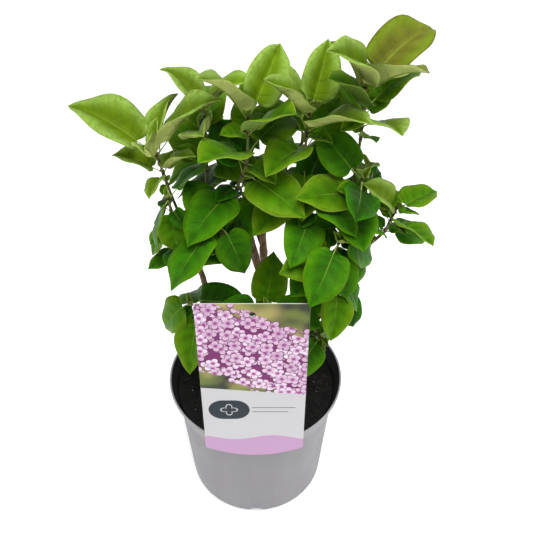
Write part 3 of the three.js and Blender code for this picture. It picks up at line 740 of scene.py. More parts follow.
def blend(tree, factor, a, b, mode="MIX"):
    inputs = {0: factor, 6: a, 7: b}
    return add(tree, "ShaderNodeMix", inputs, data_type="RGBA", blend_type=mode).outputs[2]


def calc(tree, operation, a, b=0.0):
    return add(tree, "ShaderNodeMath", {0: a, 1: b}, operation=operation).outputs[0]


def plus(tree, a, b):
    return calc(tree, "ADD", a, b)


def minus(tree, a, b):
    return calc(tree, "SUBTRACT", a, b)


def times(tree, a, b):
    return calc(tree, "MULTIPLY", a, b)


def vector_calc(tree, operation, a, b):
    return add(tree, "ShaderNodeVectorMath", {0: a, 1: b}, operation=operation).outputs[0]


def ease(tree, value, low, high, to_low=0.0, to_high=1.0):
    inputs = {"Value": value, "From Min": low, "From Max": high, "To Min": to_low, "To Max": to_high}
    return add(tree, "ShaderNodeMapRange", inputs, interpolation_type="SMOOTHSTEP").outputs["Result"]


def split(tree, vector):
    return add(tree, "ShaderNodeSeparateXYZ", {0: vector}).outputs


def new_group(name, inputs, outputs):
    """An empty node group with named sockets: (tree, its input sockets, its output node)."""
    tree = bpy.data.node_groups.new(name, "ShaderNodeTree")
    for label, kind, default in inputs:
        socket = tree.interface.new_socket(name=label, in_out="INPUT", socket_type=kind)
        if default is not None:
            socket.default_value = default
    for label, kind in outputs:
        tree.interface.new_socket(name=label, in_out="OUTPUT", socket_type=kind)
    return tree, tree.nodes.new("NodeGroupInput").outputs, tree.nodes.new("NodeGroupOutput")


@functools.cache
def uneven_group():
    """Soft patches and fine grain: the unevenness of a grown or moulded surface."""
    tree, given, result = new_group(
        "Uneven",
        [("Vector", "NodeSocketVector", None), ("Patches", "NodeSocketFloat", 60.0),
         ("Grain", "NodeSocketFloat", 900.0)],
        [("Patch", "NodeSocketFloat"), ("Fine", "NodeSocketFloat")],
    )
    for label, scale, detail in (("Patch", "Patches", 3.0), ("Fine", "Grain", 2.0)):
        inputs = {"Vector": given["Vector"], "Scale": given[scale], "Detail": detail, "Roughness": 0.55}
        cloud = add(tree, "ShaderNodeTexNoise", inputs).outputs["Fac"]
        tree.links.new(ease(tree, cloud, 0.3, 0.7), result.inputs[label])
    return tree


@functools.cache
def veins_group():
    """A leaf's pattern on the blade's own map: x runs across it, y along the side veins' feet."""
    labels = ("Veins", "Streaks", "Net", "Flank", "Margin", "Midrib")
    tree, given, result = new_group(
        "Leaf Veins",
        [("Map", "NodeSocketVector", None), ("Count", "NodeSocketFloat", 7.0),
         ("Width", "NodeSocketFloat", 0.2)],
        [(label, "NodeSocketFloat") for label in labels],
    )
    x, y, _ = split(tree, given["Map"])
    out = times(tree, calc(tree, "ABSOLUTE", minus(tree, x, 0.5)), 2.0)
    wave = calc(tree, "FRACT", times(tree, y, given["Count"]))
    near = times(tree, calc(tree, "ABSOLUTE", minus(tree, wave, 0.5)), 2.0)
    width = times(tree, given["Width"], minus(tree, 1.25, out))
    line = ease(tree, near, minus(tree, 1.0, width), 1.0)
    spread = vector_calc(tree, "MULTIPLY", given["Map"], (1.0, 2.2, 1.0))
    cells = add(tree, "ShaderNodeTexVoronoi", {"Vector": spread, "Scale": 14.0},
                feature="DISTANCE_TO_EDGE").outputs["Distance"]
    # Two of these masks carry painted light: the second is painted shade along the sunken side veins, the
    # fourth a painted highlight that grows towards the margin.
    values = (
        times(tree, line, ease(tree, out, 1.0, 0.55)),
        times(tree, ease(tree, near, 0.2, 1.0), ease(tree, out, 0.95, 0.25)),
        ease(tree, cells, 0.12, 0.0),
        ease(tree, out, 0.3, 1.0),
        ease(tree, out, 0.93, 0.985),
        times(tree, ease(tree, out, 0.034, 0.01), ease(tree, y, 1.0, 0.5)),
    )
    for label, value in zip(labels, values):
        tree.links.new(value, result.inputs[label])
    return tree


def use_group(tree, group, inputs):
    return add(tree, "ShaderNodeGroup", inputs, node_tree=group).outputs


def new_material(name, roughness, **constants):
    """A material with its Principled shader: (material, tree, shader, object coordinates)."""
    material = bpy.data.materials.new(name)
    material.use_nodes = True
    tree = material.node_tree
    shader = tree.nodes["Principled BSDF"]
    shader.inputs["Roughness"].default_value = roughness
    for key, value in constants.items():
        shader.inputs[key.replace("_", " ")].default_value = value
    return material, tree, shader, tree.nodes.new("ShaderNodeTexCoord").outputs["Object"]


def wire(tree, shader, colour=None, roughness=None, height=None, strength=0.3, distance=0.0005):
    if colour is not None:
        tree.links.new(colour, shader.inputs["Base Color"])
    if roughness is not None:
        tree.links.new(roughness, shader.inputs["Roughness"])
    if height is not None:
        bump = add(tree, "ShaderNodeBump", {"Height": height, "Strength": strength, "Distance": distance})
        tree.links.new(bump.outputs["Normal"], shader.inputs["Normal"])


def leaf_material(name, colour, flank, edge, rib, vein_count, gloss=0.42, depth=0.55, vein_share=0.03):
    """A waxy leaf face. It varies from leaf to leaf and carries painted shade and a painted highlight: it
    darkens by "depth" along the sunken side veins, where shade would fall, and turns paler towards its
    margin, where the curved halves would catch the light; midrib, side veins and margin are pale lines."""
    material, tree, shader, place = new_material(
        name, gloss, Specular_IOR_Level=0.09, Specular_Tint=linear((0.75, 0.95, 0.5))
    )
    grown = use_group(tree, uneven_group(), {"Vector": place, "Patches": 70.0, "Grain": 1500.0})
    broad = use_group(tree, uneven_group(), {"Vector": place, "Patches": 19.0, "Grain": 330.0})
    blade = tree.nodes.new("ShaderNodeUVMap").outputs["UV"]
    veins = use_group(tree, veins_group(), {"Map": blade, "Count": vein_count, "Width": 0.2})
    tone = plus(tree, times(tree, broad["Patch"], 0.6), times(tree, grown["Patch"], 0.4))
    green = blend(tree, tone, linear(darker(colour, 0.74)), linear(colour))
    # Painted highlight: the blade turns to a paler green near its margin, standing in for the light on its
    # curved halves.
    pale = times(tree, veins["Flank"], plus(tree, times(tree, broad["Fine"], 0.5), 0.35))
    green = blend(tree, pale, green, linear(flank))
    # Painted shade: a darker green along the sunken side veins, as strong as "depth" says.
    light_and_shade_streaks = times(tree, veins["Streaks"], plus(tree, times(tree, broad["Fine"], 0.6), 0.4))
    green = blend(tree, times(tree, light_and_shade_streaks, depth), green, linear(darker(colour, 0.55)))
    net = times(tree, veins["Net"], 0.04)
    green = blend(tree, net, green, linear(rib))
    green = blend(tree, times(tree, veins["Veins"], vein_share), green, linear(rib))
    green = blend(tree, times(tree, veins["Midrib"], 0.5), green, linear(rib))
    green = blend(tree, times(tree, veins["Margin"], 0.6), green, linear(edge))
    rough = plus(tree, times(tree, grown["Fine"], 0.12), gloss - 0.06)
    relief = plus(tree, times(tree, veins["Veins"], -0.9), times(tree, net, -1.5))
    relief = plus(tree, relief, times(tree, grown["Fine"], 0.15))
    wire(tree, shader, green, rough, relief, strength=0.6, distance=0.0004)
    return material


def stem_material(name, low, high, spots):
    """Young bark that turns from one colour at its foot to another at its tip, with pale lenticels."""
    material, tree, shader, place = new_material(name, 0.55)
    grown = use_group(tree, uneven_group(), {"Vector": place, "Patches": 120.0, "Grain": 1400.0})
    along = split(tree, tree.nodes.new("ShaderNodeUVMap").outputs["UV"])[1]
    ripe = plus(tree, along, times(tree, minus(tree, grown["Patch"], 0.5), 0.3))
    colour = blend(tree, ease(tree, ripe, 0.1, 0.75), linear(low), linear(high))
    stretched = vector_calc(tree, "MULTIPLY", place, (1.0, 1.0, 0.35))
    cells = add(tree, "ShaderNodeTexVoronoi", {"Vector": stretched, "Scale": 420.0}).outputs["Distance"]
    speck = times(tree, ease(tree, cells, 0.3, 0.12), 0.6)
    colour = blend(tree, speck, colour, linear(spots))
    height = plus(tree, times(tree, speck, 0.6), times(tree, grown["Fine"], 0.5))
    wire(tree, shader, colour, None, height, strength=0.6, distance=0.0003)
    return material


def bark_material(name, settings):
    """Older bark: grey-brown, finely split along the limb, with rusty patches and pale lenticels."""
    material, tree, shader, place = new_material(name, 0.8)
    grown = use_group(tree, uneven_group(), {"Vector": place, "Patches": 55.0, "Grain": 900.0})
    stretched = vector_calc(tree, "MULTIPLY", place, (1.0, 1.0, 0.16))
    split_bark = add(tree, "ShaderNodeTexNoise", {"Vector": stretched, "Scale": 900.0, "Detail": 4.0})
    fissure = ease(tree, split_bark.outputs["Fac"], 0.42, 0.62)
    colour = blend(tree, grown["Patch"], linear(settings.bark_dark), linear(settings.bark))
    colour = blend(tree, times(tree, fissure, 0.55), colour, linear(settings.bark_light))
    wider = vector_calc(tree, "MULTIPLY", place, (1.0, 1.0, 0.5))
    cells = add(tree, "ShaderNodeTexVoronoi", {"Vector": wider, "Scale": 260.0}).outputs["Distance"]
    speck = ease(tree, cells, 0.24, 0.1)
    colour = blend(tree, times(tree, speck, 0.7), colour, linear(settings.lenticel))
    height = plus(tree, times(tree, fissure, 0.7), speck)
    wire(tree, shader, colour, None, height, strength=0.8, distance=0.0005)
    return material


def moulded_material(name, colour, sheen_and_wear, roughness, **constants):
    """Moulded plastic: nearly even colour, soft scuffs, and painted sheen: paler vertical bands down the wall
    that stand in for soft highlights.
    """
    material, tree, shader, place = new_material(name, roughness, **constants)
    streaked = vector_calc(tree, "MULTIPLY", place, (1.0, 1.0, 0.12))
    light_and_shade_streaks = use_group(tree, uneven_group(), {"Vector": streaked, "Patches": 90.0, "Grain": 700.0})
    scuffs = use_group(tree, uneven_group(), {"Vector": place, "Patches": 26.0, "Grain": 1600.0})
    # Painted sheen: the long vertical bands of the paler colour stand in for soft highlights; the round
    # patches are scuffs.
    sheen_and_wear_share = times(tree, plus(tree, light_and_shade_streaks["Patch"], scuffs["Patch"]), 0.28)
    tone = blend(tree, sheen_and_wear_share, linear(colour), linear(sheen_and_wear))
    rough = plus(tree, times(tree, scuffs["Patch"], 0.14), roughness - 0.07)
    wire(tree, shader, tone, rough, scuffs["Fine"], strength=0.12, distance=0.0002)
    return material


def peat_material(name, dark, light, roughness=0.95):
    material, tree, shader, place = new_material(name, roughness)
    grown = use_group(tree, uneven_group(), {"Vector": place, "Patches": 240.0, "Grain": 1500.0})
    shade = times(tree, grown["Patch"], grown["Fine"])
    colour = blend(tree, shade, linear(dark), linear(light))
    wire(tree, shader, colour, None, grown["Fine"], strength=0.8, distance=0.0008)
    return material


# ---------------------------------------------------------------- settings


def colour_property(name, description, *rgb):
    return FloatVectorProperty(
        name=name, description=description, subtype="COLOR_GAMMA", size=3, min=0, max=1,
        default=tuple(c / 255 for c in rgb),
    )


def length_property(name, description, millimetres):
    return FloatProperty(name=name, description=description, default=millimetres * MM, min=0, unit="LENGTH")


def number_property(name, description, default, **more):
    return FloatProperty(name=name, description=description, default=default, **more)


class PotSettings(bpy.types.PropertyGroup):
    height: length_property("Height", "From the underside to the top of the rim", 140)
    rim_radius: length_property("Rim radius", "Outer radius at the mouth", 84.5)
    waist_radius: length_property("Waist radius", "Outer radius where the wall starts to flare", 76)
    foot_radius: length_property("Foot radius", "Outer radius of the wall at the foot", 69)
    flare: length_property("Flare", "From the waist to the mouth", 32)
    flare_bend: number_property("Flare bend", "Slope at the waist, of its mean", 0.25)
    rim_band: length_property("Rim band", "Height of the upright band at the mouth", 3)
    wall: length_property("Wall", "Thickness of the wall", 1.8)
    floor: length_property("Floor", "Thickness of the floor", 3)
    corner: length_property("Corner", "Radius between wall and underside", 7)
    notch_height: length_property("Notch height", "Height of the drain notches in the foot", 9)
    outside: colour_property("Outside", "Grey of the outer wall", 118, 117, 121)
    # This paler grey also paints the sheen bands down the wall.
    sheen_and_scuffs: colour_property("Scuffed", "Paler grey of the scuffs and streaks", 134, 130, 134)
    inside: colour_property("Inside", "Near black of the inner wall", 16, 17, 16)
    # Painted highlight: the pale grey on top of the rim stands in for the light that falls along it.
    rim: colour_property("Rim", "Pale grey of the worn rim", 168, 168, 170)


class PeatSettings(bpy.types.PropertyGroup):
    crumbs: IntProperty(name="Crumbs", description="Loose crumbs of peat", default=1500, min=0)
    crumb_size: length_property("Crumb size", "Radius of the largest crumbs", 2.2)
    perlite: IntProperty(name="Perlite", description="White grains of perlite", default=46, min=0)
    fibres: IntProperty(name="Fibres", description="Dry fibres and bits of stalk", default=70, min=0)
    relief: length_property("Relief", "Height of the lumps in the surface", 2.4)
    dark: colour_property("Dark", "Wet peat", 9, 9, 9)
    light: colour_property("Light", "Dry peat", 26, 24, 22)
    stone: colour_property("Perlite colour", "White of the perlite", 205, 203, 198)
    tan: colour_property("Fibre, tan", "Dry stalks", 140, 116, 74)
    rust: colour_property("Fibre, rust", "Rust-brown stalks", 96, 44, 26)
    moss: colour_property("Fibre, moss", "Bits of green", 50, 90, 24)


class LabelSettings(bpy.types.PropertyGroup):
    paper: colour_property("Paper", "White of the card", 191, 190, 192)
    petal: colour_property("Petal", "Pale mauve of the printed petals", 228, 206, 226)
    petal_deep: colour_property("Petal, deep", "Magenta in the florets' throats", 146, 54, 128)
    petal_gap: colour_property("Gaps", "Dark magenta between the florets", 112, 36, 96)
    garden: colour_property("Garden", "Green behind the florets", 104, 116, 50)
    garden_dark: colour_property("Garden, dark", "Dark green behind the florets", 44, 50, 36)
    garden_warm: colour_property("Garden, warm", "Dry yellow behind the florets", 168, 158, 92)
    band: colour_property("Band", "Mauve band along the foot of the card", 184, 146, 183)
    badge: colour_property("Badge", "Dark slate of the small badge", 16, 34, 44)


class BarkSettings(bpy.types.PropertyGroup):
    relief: length_property("Relief", "Depth of the bark's ridges", 0.35)
    bark: colour_property("Bark", "Brown of the older bark", 118, 84, 58)
    bark_dark: colour_property("Bark, dark", "Dark red-brown patches", 72, 44, 30)
    bark_light: colour_property("Bark, light", "Grey ridges", 150, 128, 104)
    lenticel: colour_property("Lenticels", "Pale breathing spots", 176, 148, 112)
    wood: colour_property("Cut wood", "Pruned end of the stub", 186, 160, 116)
    shoot_low: colour_property("Shoot, low", "Bark at the foot of this year's shoots", 76, 40, 28)
    shoot_high: colour_property("Shoot, high", "Green bark towards their tips", 98, 104, 44)
    bud: colour_property("Buds", "Dark red-brown bud scales and joints", 44, 26, 24)


class LeafSettings(bpy.types.PropertyGroup):
    thickness: length_property("Thickness", "Thickness of a blade", 0.35)
    breadth: number_property("Breadth", "Breadth of the blades, 1 as grown", 1.0)
    puff: length_property("Puff", "How far the blade bulges between its veins", 0.65)
    wave: number_property("Wave", "Waves of the margin, as a share of the breadth", 0.1)
    veins: IntProperty(name="Side veins", description="Side veins on each half", default=7, min=3, max=12)
    deep: colour_property("Deep", "Oldest leaves", 24, 70, 5)
    green: colour_property("Green", "Full-grown leaves", 46, 106, 8)
    fresh: colour_property("Fresh", "Half-grown leaves", 72, 124, 7)
    lime: colour_property("Lime", "Youngest leaves", 100, 130, 16)
    bronze: colour_property("Bronze", "Unfolding leaves", 110, 114, 36)
    bronze_dark: colour_property("Bronze, dark", "Red-brown margins of unfolding leaves", 100, 66, 34)
    under: colour_property("Underside", "Underside of full-grown leaves", 142, 172, 84)
    under_young: colour_property("Underside, young", "Underside of young leaves", 196, 208, 120)
    rib: colour_property("Ribs", "Petioles and midribs", 132, 154, 62)


class StageSettings(bpy.types.PropertyGroup):
    floor: colour_property("Floor", "Pale studio floor", 246, 246, 246)
    glow: number_property("Floor glow", "Light that the floor gives off by itself", 0.42)
    key: number_property("Key light", "Power of the large light overhead", 24.0)
    fill: number_property("Fill lights", "Power of each light at the sides", 4.0)
    sky: number_property("Sky", "Strength of the even light all round", 0.4)
    aside: number_property("Camera aside", "To the right of the pot", 10.8 * MM, unit="LENGTH")
    back: length_property("Camera back", "In front of the pot's axis", 467)
    raised: length_property("Camera height", "Above the floor", 677)
    pitch: number_property("Pitch", "How far the camera looks down", math.radians(40.5), unit="ROTATION")
    lens: number_property("Lens", "Focal length on a 36 mm frame", 48.1, unit="CAMERA")


# ---------------------------------------------------------------- pieces


def sort_by_place(bm):
    """Orders vertices, edges and faces by where they lie. A spin leaves them in another order each run."""

    def number(place):
        return place.x + 1e3 * place.y + 1e6 * place.z

    bm.verts.sort(key=lambda vert: number(vert.co))
    bm.edges.sort(key=lambda edge: number(edge.verts[0].co + edge.verts[1].co))
    bm.faces.sort(key=lambda face: number(face.calc_center_median()))


def spin_profile(bm, profile, steps):
    """Turns a profile of (radius, height) points, in metres, about the pot's axis."""
    points = [bm.verts.new((r, 0, z)) for r, z in profile]
    edges = [bm.edges.new(pair) for pair in zip(points, points[1:])]
    bmesh.ops.spin(
        bm, geom=points + edges, cent=(0, 0, 0), axis=(0, 0, 1), angle=2 * math.pi, steps=steps,
        use_merge=True,
    )
    bmesh.ops.remove_doubles(bm, verts=bm.verts, dist=1e-6)
    bmesh.ops.recalc_face_normals(bm, faces=bm.faces)
    sort_by_place(bm)


def arc(centre, radius, start, end, steps):
    """Points (radius, height) on a round stretch of a profile, angles in degrees."""
    turns = [math.radians(start + (end - start) * i / steps) for i in range(steps + 1)]
    return [(centre[0] + radius * math.cos(a), centre[1] + radius * math.sin(a)) for a in turns]


def wall_radius(pot, z):
    """The outer radius of the pot's wall at a height: a cone that flares in a soft curve to the mouth."""
    waist = pot.height - pot.flare
    if z < waist:
        return mix(pot.foot_radius, pot.waist_radius, (z - pot.corner) / (waist - pot.corner))
    t = min((z - waist) / (pot.flare - pot.rim_band), 1)
    return mix(pot.waist_radius, pot.rim_radius, t * (pot.flare_bend + (1 - pot.flare_bend) * t))


class LILAC_OT_pot(bpy.types.Operator):
    """Makes the thin-walled nursery pot with its flared mouth, drain notches and drain holes"""

    bl_idname = "lilac.pot"
    bl_label = "Pot"
    bl_options = {"REGISTER", "UNDO"}

    SPIN_STEPS, FLARE_STEPS = 144, 12
    NOTCHES, NOTCH_RADIUS, NOTCH_DEPTH = 4, 0.0085, 0.024
    DRAINS, DRAIN_RADIUS, DRAIN_DEPTH, DRAIN_CIRCLE = 6, 0.005, 0.02, 0.04
    BAND_STEP = 0.0003  # how far the foot of the rim's band stands back
    INSIDE, RIM = 1, 2  # places of the finishes; the outside is 0

    def execute(self, context):
        pot = context.scene.lilac_pot
        finishes = [
            moulded_material("pot_grey", pot.outside, pot.sheen_and_scuffs, 0.48),
            moulded_material("pot_inside", pot.inside, darker(pot.inside, 1.3), 0.6),
            moulded_material("pot_rim", pot.rim, pot.sheen_and_scuffs, 0.42),
        ]
        shell = bmesh.new()
        spin_profile(shell, self.profile(pot), self.SPIN_STEPS)
        cutters = self.cutters(pot)
        mesh = cut_mesh("pot", shell, cutters)
        bm = bmesh.new()
        bm.from_mesh(mesh)
        crease(bm, 40)
        for face in bm.faces:
            face.smooth = True
            centre = face.calc_center_median()
            within = wall_radius(pot, centre.z) - pot.wall * 0.6
            # Painted highlight: the faces on top of the rim take the pale rim finish.
            if centre.z > pot.height - pot.wall * 0.6:
                face.material_index = self.RIM
            elif centre.z > pot.floor * 0.9 and math.hypot(centre.x, centre.y) < within:
                face.material_index = self.INSIDE
        bm.to_mesh(mesh)
        bm.free()
        place_mesh("nursery_pot", mesh, "pot", "pot", materials=finishes)
        return {"FINISHED"}

    def profile(self, pot):
        """The section from the middle of the underside, up the outside, over the rim and down inside."""
        foot = pot.foot_radius - pot.corner
        waist, mouth = pot.height - pot.flare, pot.height - pot.rim_band
        heights = [mix(waist, mouth, i / self.FLARE_STEPS) for i in range(self.FLARE_STEPS)]
        bead = pot.wall / 2
        return [
            (0, 0),
            (foot * 0.55, 0),
            *arc((foot, pot.corner), pot.corner, -90, -4, 8),
            (wall_radius(pot, waist / 2), waist / 2),
            *[(wall_radius(pot, z), z) for z in heights],
            (pot.rim_radius - self.BAND_STEP, mouth),
            *arc((pot.rim_radius - bead, pot.height - bead), bead, 0, 180, 8),
            (pot.rim_radius - pot.wall - self.BAND_STEP, mouth),
            *[(wall_radius(pot, z) - pot.wall, z) for z in reversed(heights)],
            (pot.foot_radius - pot.wall, pot.corner + 0.002),
            (foot, pot.floor),
            (0, pot.floor),
        ]

    def cutters(self, pot):
        """Round bars across the foot and through the floor."""
        bm = bmesh.new()
        for i in range(self.NOTCHES):
            turn = Matrix.Rotation(2 * math.pi * i / self.NOTCHES, 4, "Z")
            place = Matrix.Translation((0, -pot.foot_radius, pot.notch_height - self.NOTCH_RADIUS))
            lie = Matrix.Rotation(math.pi / 2, 4, "X")
            bmesh.ops.create_cone(
                bm, cap_ends=True, segments=40, radius1=self.NOTCH_RADIUS, radius2=self.NOTCH_RADIUS,
                depth=self.NOTCH_DEPTH, matrix=turn @ place @ lie,
            )
        for i in range(self.DRAINS):
            turn = Matrix.Rotation(2 * math.pi * i / self.DRAINS, 4, "Z")
            place = Matrix.Translation((self.DRAIN_CIRCLE, 0, 0))
            bmesh.ops.create_cone(
                bm, cap_ends=True, segments=28, radius1=self.DRAIN_RADIUS, radius2=self.DRAIN_RADIUS,
                depth=self.DRAIN_DEPTH, matrix=turn @ place,
            )
        return bm


def cut_mesh(name, bm, cutter_bm):
    """The mesh of a bmesh with the closed shapes of another cut out of it."""
    body = bpy.data.objects.new(name + "_body", bpy.data.meshes.new(name))
    cutter = bpy.data.objects.new(name + "_cutter", bpy.data.meshes.new(name + "_cutter"))
    for piece, source in ((body, bm), (cutter, cutter_bm)):
        source.to_mesh(piece.data)
        source.free()
        bpy.context.scene.collection.objects.link(piece)
    cut = body.modifiers.new("Cut", "BOOLEAN")
    cut.operation = "DIFFERENCE"
    cut.solver = "EXACT"
    cut.object = cutter
    whole = body.evaluated_get(bpy.context.evaluated_depsgraph_get())
    mesh = bpy.data.meshes.new_from_object(whole)
    for piece in (body, cutter):
        bpy.data.objects.remove(piece, do_unlink=True)
    mesh.name = name
    return mesh


class LILAC_OT_peat(bpy.types.Operator):
    """Fills the pot with peat and strews crumbs, perlite and dry fibres over it"""

    bl_idname = "lilac.peat"
    bl_label = "Peat"
    bl_options = {"REGISTER", "UNDO"}

    SPIN_STEPS, RINGS = 150, 34
    GAP = 0.0006  # between peat and wall
    LEVEL = 0.004  # how close to the wall the lumps die out
    LUMPS, CRUMBLE = 90, 420  # how closely they follow each other, to the metre
    PERLITE_SIZE = 0.0011
    CRUMB_DRAWS, PERLITE_DRAWS, FIBRE_DRAWS = 51, 52, 53  # first keys of the chances drawn

    def execute(self, context):
        peat, pot = context.scene.lilac_peat, context.scene.lilac_pot
        dark = peat_material("peat", peat.dark, peat.light)
        bm = bmesh.new()
        low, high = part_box("soil")
        edge = high[0] - self.GAP
        top = SOIL["edge"] * MM
        rings = [edge * i / self.RINGS for i in range(self.RINGS, 0, -1)]
        foot = pot.foot_radius - pot.corner - self.GAP
        profile = [(0, low[2]), (foot, low[2]), (pot.foot_radius - 0.003, pot.corner + 0.003)]
        profile += [(pot.waist_radius - pot.wall - self.GAP, pot.height - pot.flare)]
        profile += [(r, top) for r in rings] + [(0, top)]
        spin_profile(bm, profile, self.SPIN_STEPS)
        for vertex in bm.verts:
            if vertex.co.z > top - 1e-5:
                vertex.co.z = self.height_at(peat, vertex.co.x, vertex.co.y, edge)
        for face in bm.faces:
            face.smooth = True
        finish_piece("peat", bm, "soil", "soil", materials=[dark])
        self.strew(peat, edge, dark)
        return {"FINISHED"}

    def height_at(self, peat, x, y, edge):
        """The lumpy surface: a low crown in the middle, coarse lumps and fine crumble."""
        radius = math.hypot(x, y)
        crown = (SOIL["crown"] - SOIL["edge"]) * MM * (1 - min(radius / edge, 1))
        lumps = noise.noise(Vector((x * self.LUMPS, y * self.LUMPS, 3.0)))
        crumble = noise.noise(Vector((x * self.CRUMBLE, y * self.CRUMBLE, 7.0)))
        near_wall = min(1.0, (edge - radius) / self.LEVEL)
        return SOIL["edge"] * MM + crown + peat.relief * (0.4 * lumps + 0.35 * crumble) * near_wall

    def strew(self, peat, edge, dark):
        stone = peat_material("perlite", darker(peat.stone, 0.75), peat.stone, 0.8)
        kinds = [
            ("peat_crumbs", peat.crumbs, peat.crumb_size, dark, self.CRUMB_DRAWS),
            ("perlite", peat.perlite, self.PERLITE_SIZE, stone, self.PERLITE_DRAWS),
        ]
        for name, count, size, material, seed in kinds:
            bm = bmesh.new()
            for i in range(count):
                spot = self.spot(peat, edge, seed, i)
                radius = size * (0.3 + 0.7 * chance(seed, i, 3) ** 2)
                made = bmesh.ops.create_icosphere(bm, subdivisions=1, radius=radius)
                tilt = Matrix.Rotation(chance(seed, i, 5), 4, "X")
                turn = Matrix.Rotation(ANY_TURN * chance(seed, i, 4), 4, "Z") @ tilt
                width, height = 0.6 + 0.4 * chance(seed, i, 6), 0.5 + 0.4 * chance(seed, i, 7)
                squash = Matrix.Diagonal((1, width, height, 1))
                matrix = Matrix.Translation(spot + Vector((0, 0, radius * 0.25))) @ turn @ squash
                bmesh.ops.transform(bm, matrix=matrix, verts=made["verts"])
            finish_piece(name, bm, "soil", materials=[material], weld=1e-9)
        self.fibres(peat, edge)

    def spot(self, peat, edge, seed, i):
        """A place on the surface, spread evenly over the disc."""
        turn = 2 * math.pi * chance(seed, i, 1)
        radius = (edge - 0.003) * math.sqrt(chance(seed, i, 2))
        x, y = radius * math.cos(turn), radius * math.sin(turn)
        return Vector((x, y, self.height_at(peat, x, y, edge)))

    def fibres(self, peat, edge):
        kinds = {"fibre_tan": peat.tan, "fibre_rust": peat.rust, "fibre_moss": peat.moss}
        tints = [peat_material(name, darker(tint, 0.7), tint, 0.7) for name, tint in kinds.items()]
        bm = uv_bmesh()
        draws = self.FIBRE_DRAWS
        for i in range(peat.fibres):
            spot = self.spot(peat, edge, draws, i) / MM
            turn = 2 * math.pi * chance(draws, i, 8)
            half = 1.5 + 5 * chance(draws, i, 9) ** 2
            way = Vector((math.cos(turn), math.sin(turn), jitter(0.25, draws, i, 10))) * half
            aside = Vector((-math.sin(turn), math.cos(turn), 0)) * jitter(0.5, draws, i, 11) * half
            lift = Vector((0, 0, 0.7))
            points = [spot - way + lift, spot + aside + lift * 1.6, spot + way + lift]
            thick = 0.16 + 0.3 * chance(draws, i, 12) ** 3
            kind = 0 if chance(draws, i, 13) < 0.8 else 1 + int(chance(draws, i, 14) < 0.5)
            add_tube(bm, [vec(p) for p in points], [thick * 0.6, thick, thick * 0.5], 5, kind)
        finish_piece("peat_fibres", bm, "soil", materials=tints, weld=1e-8)


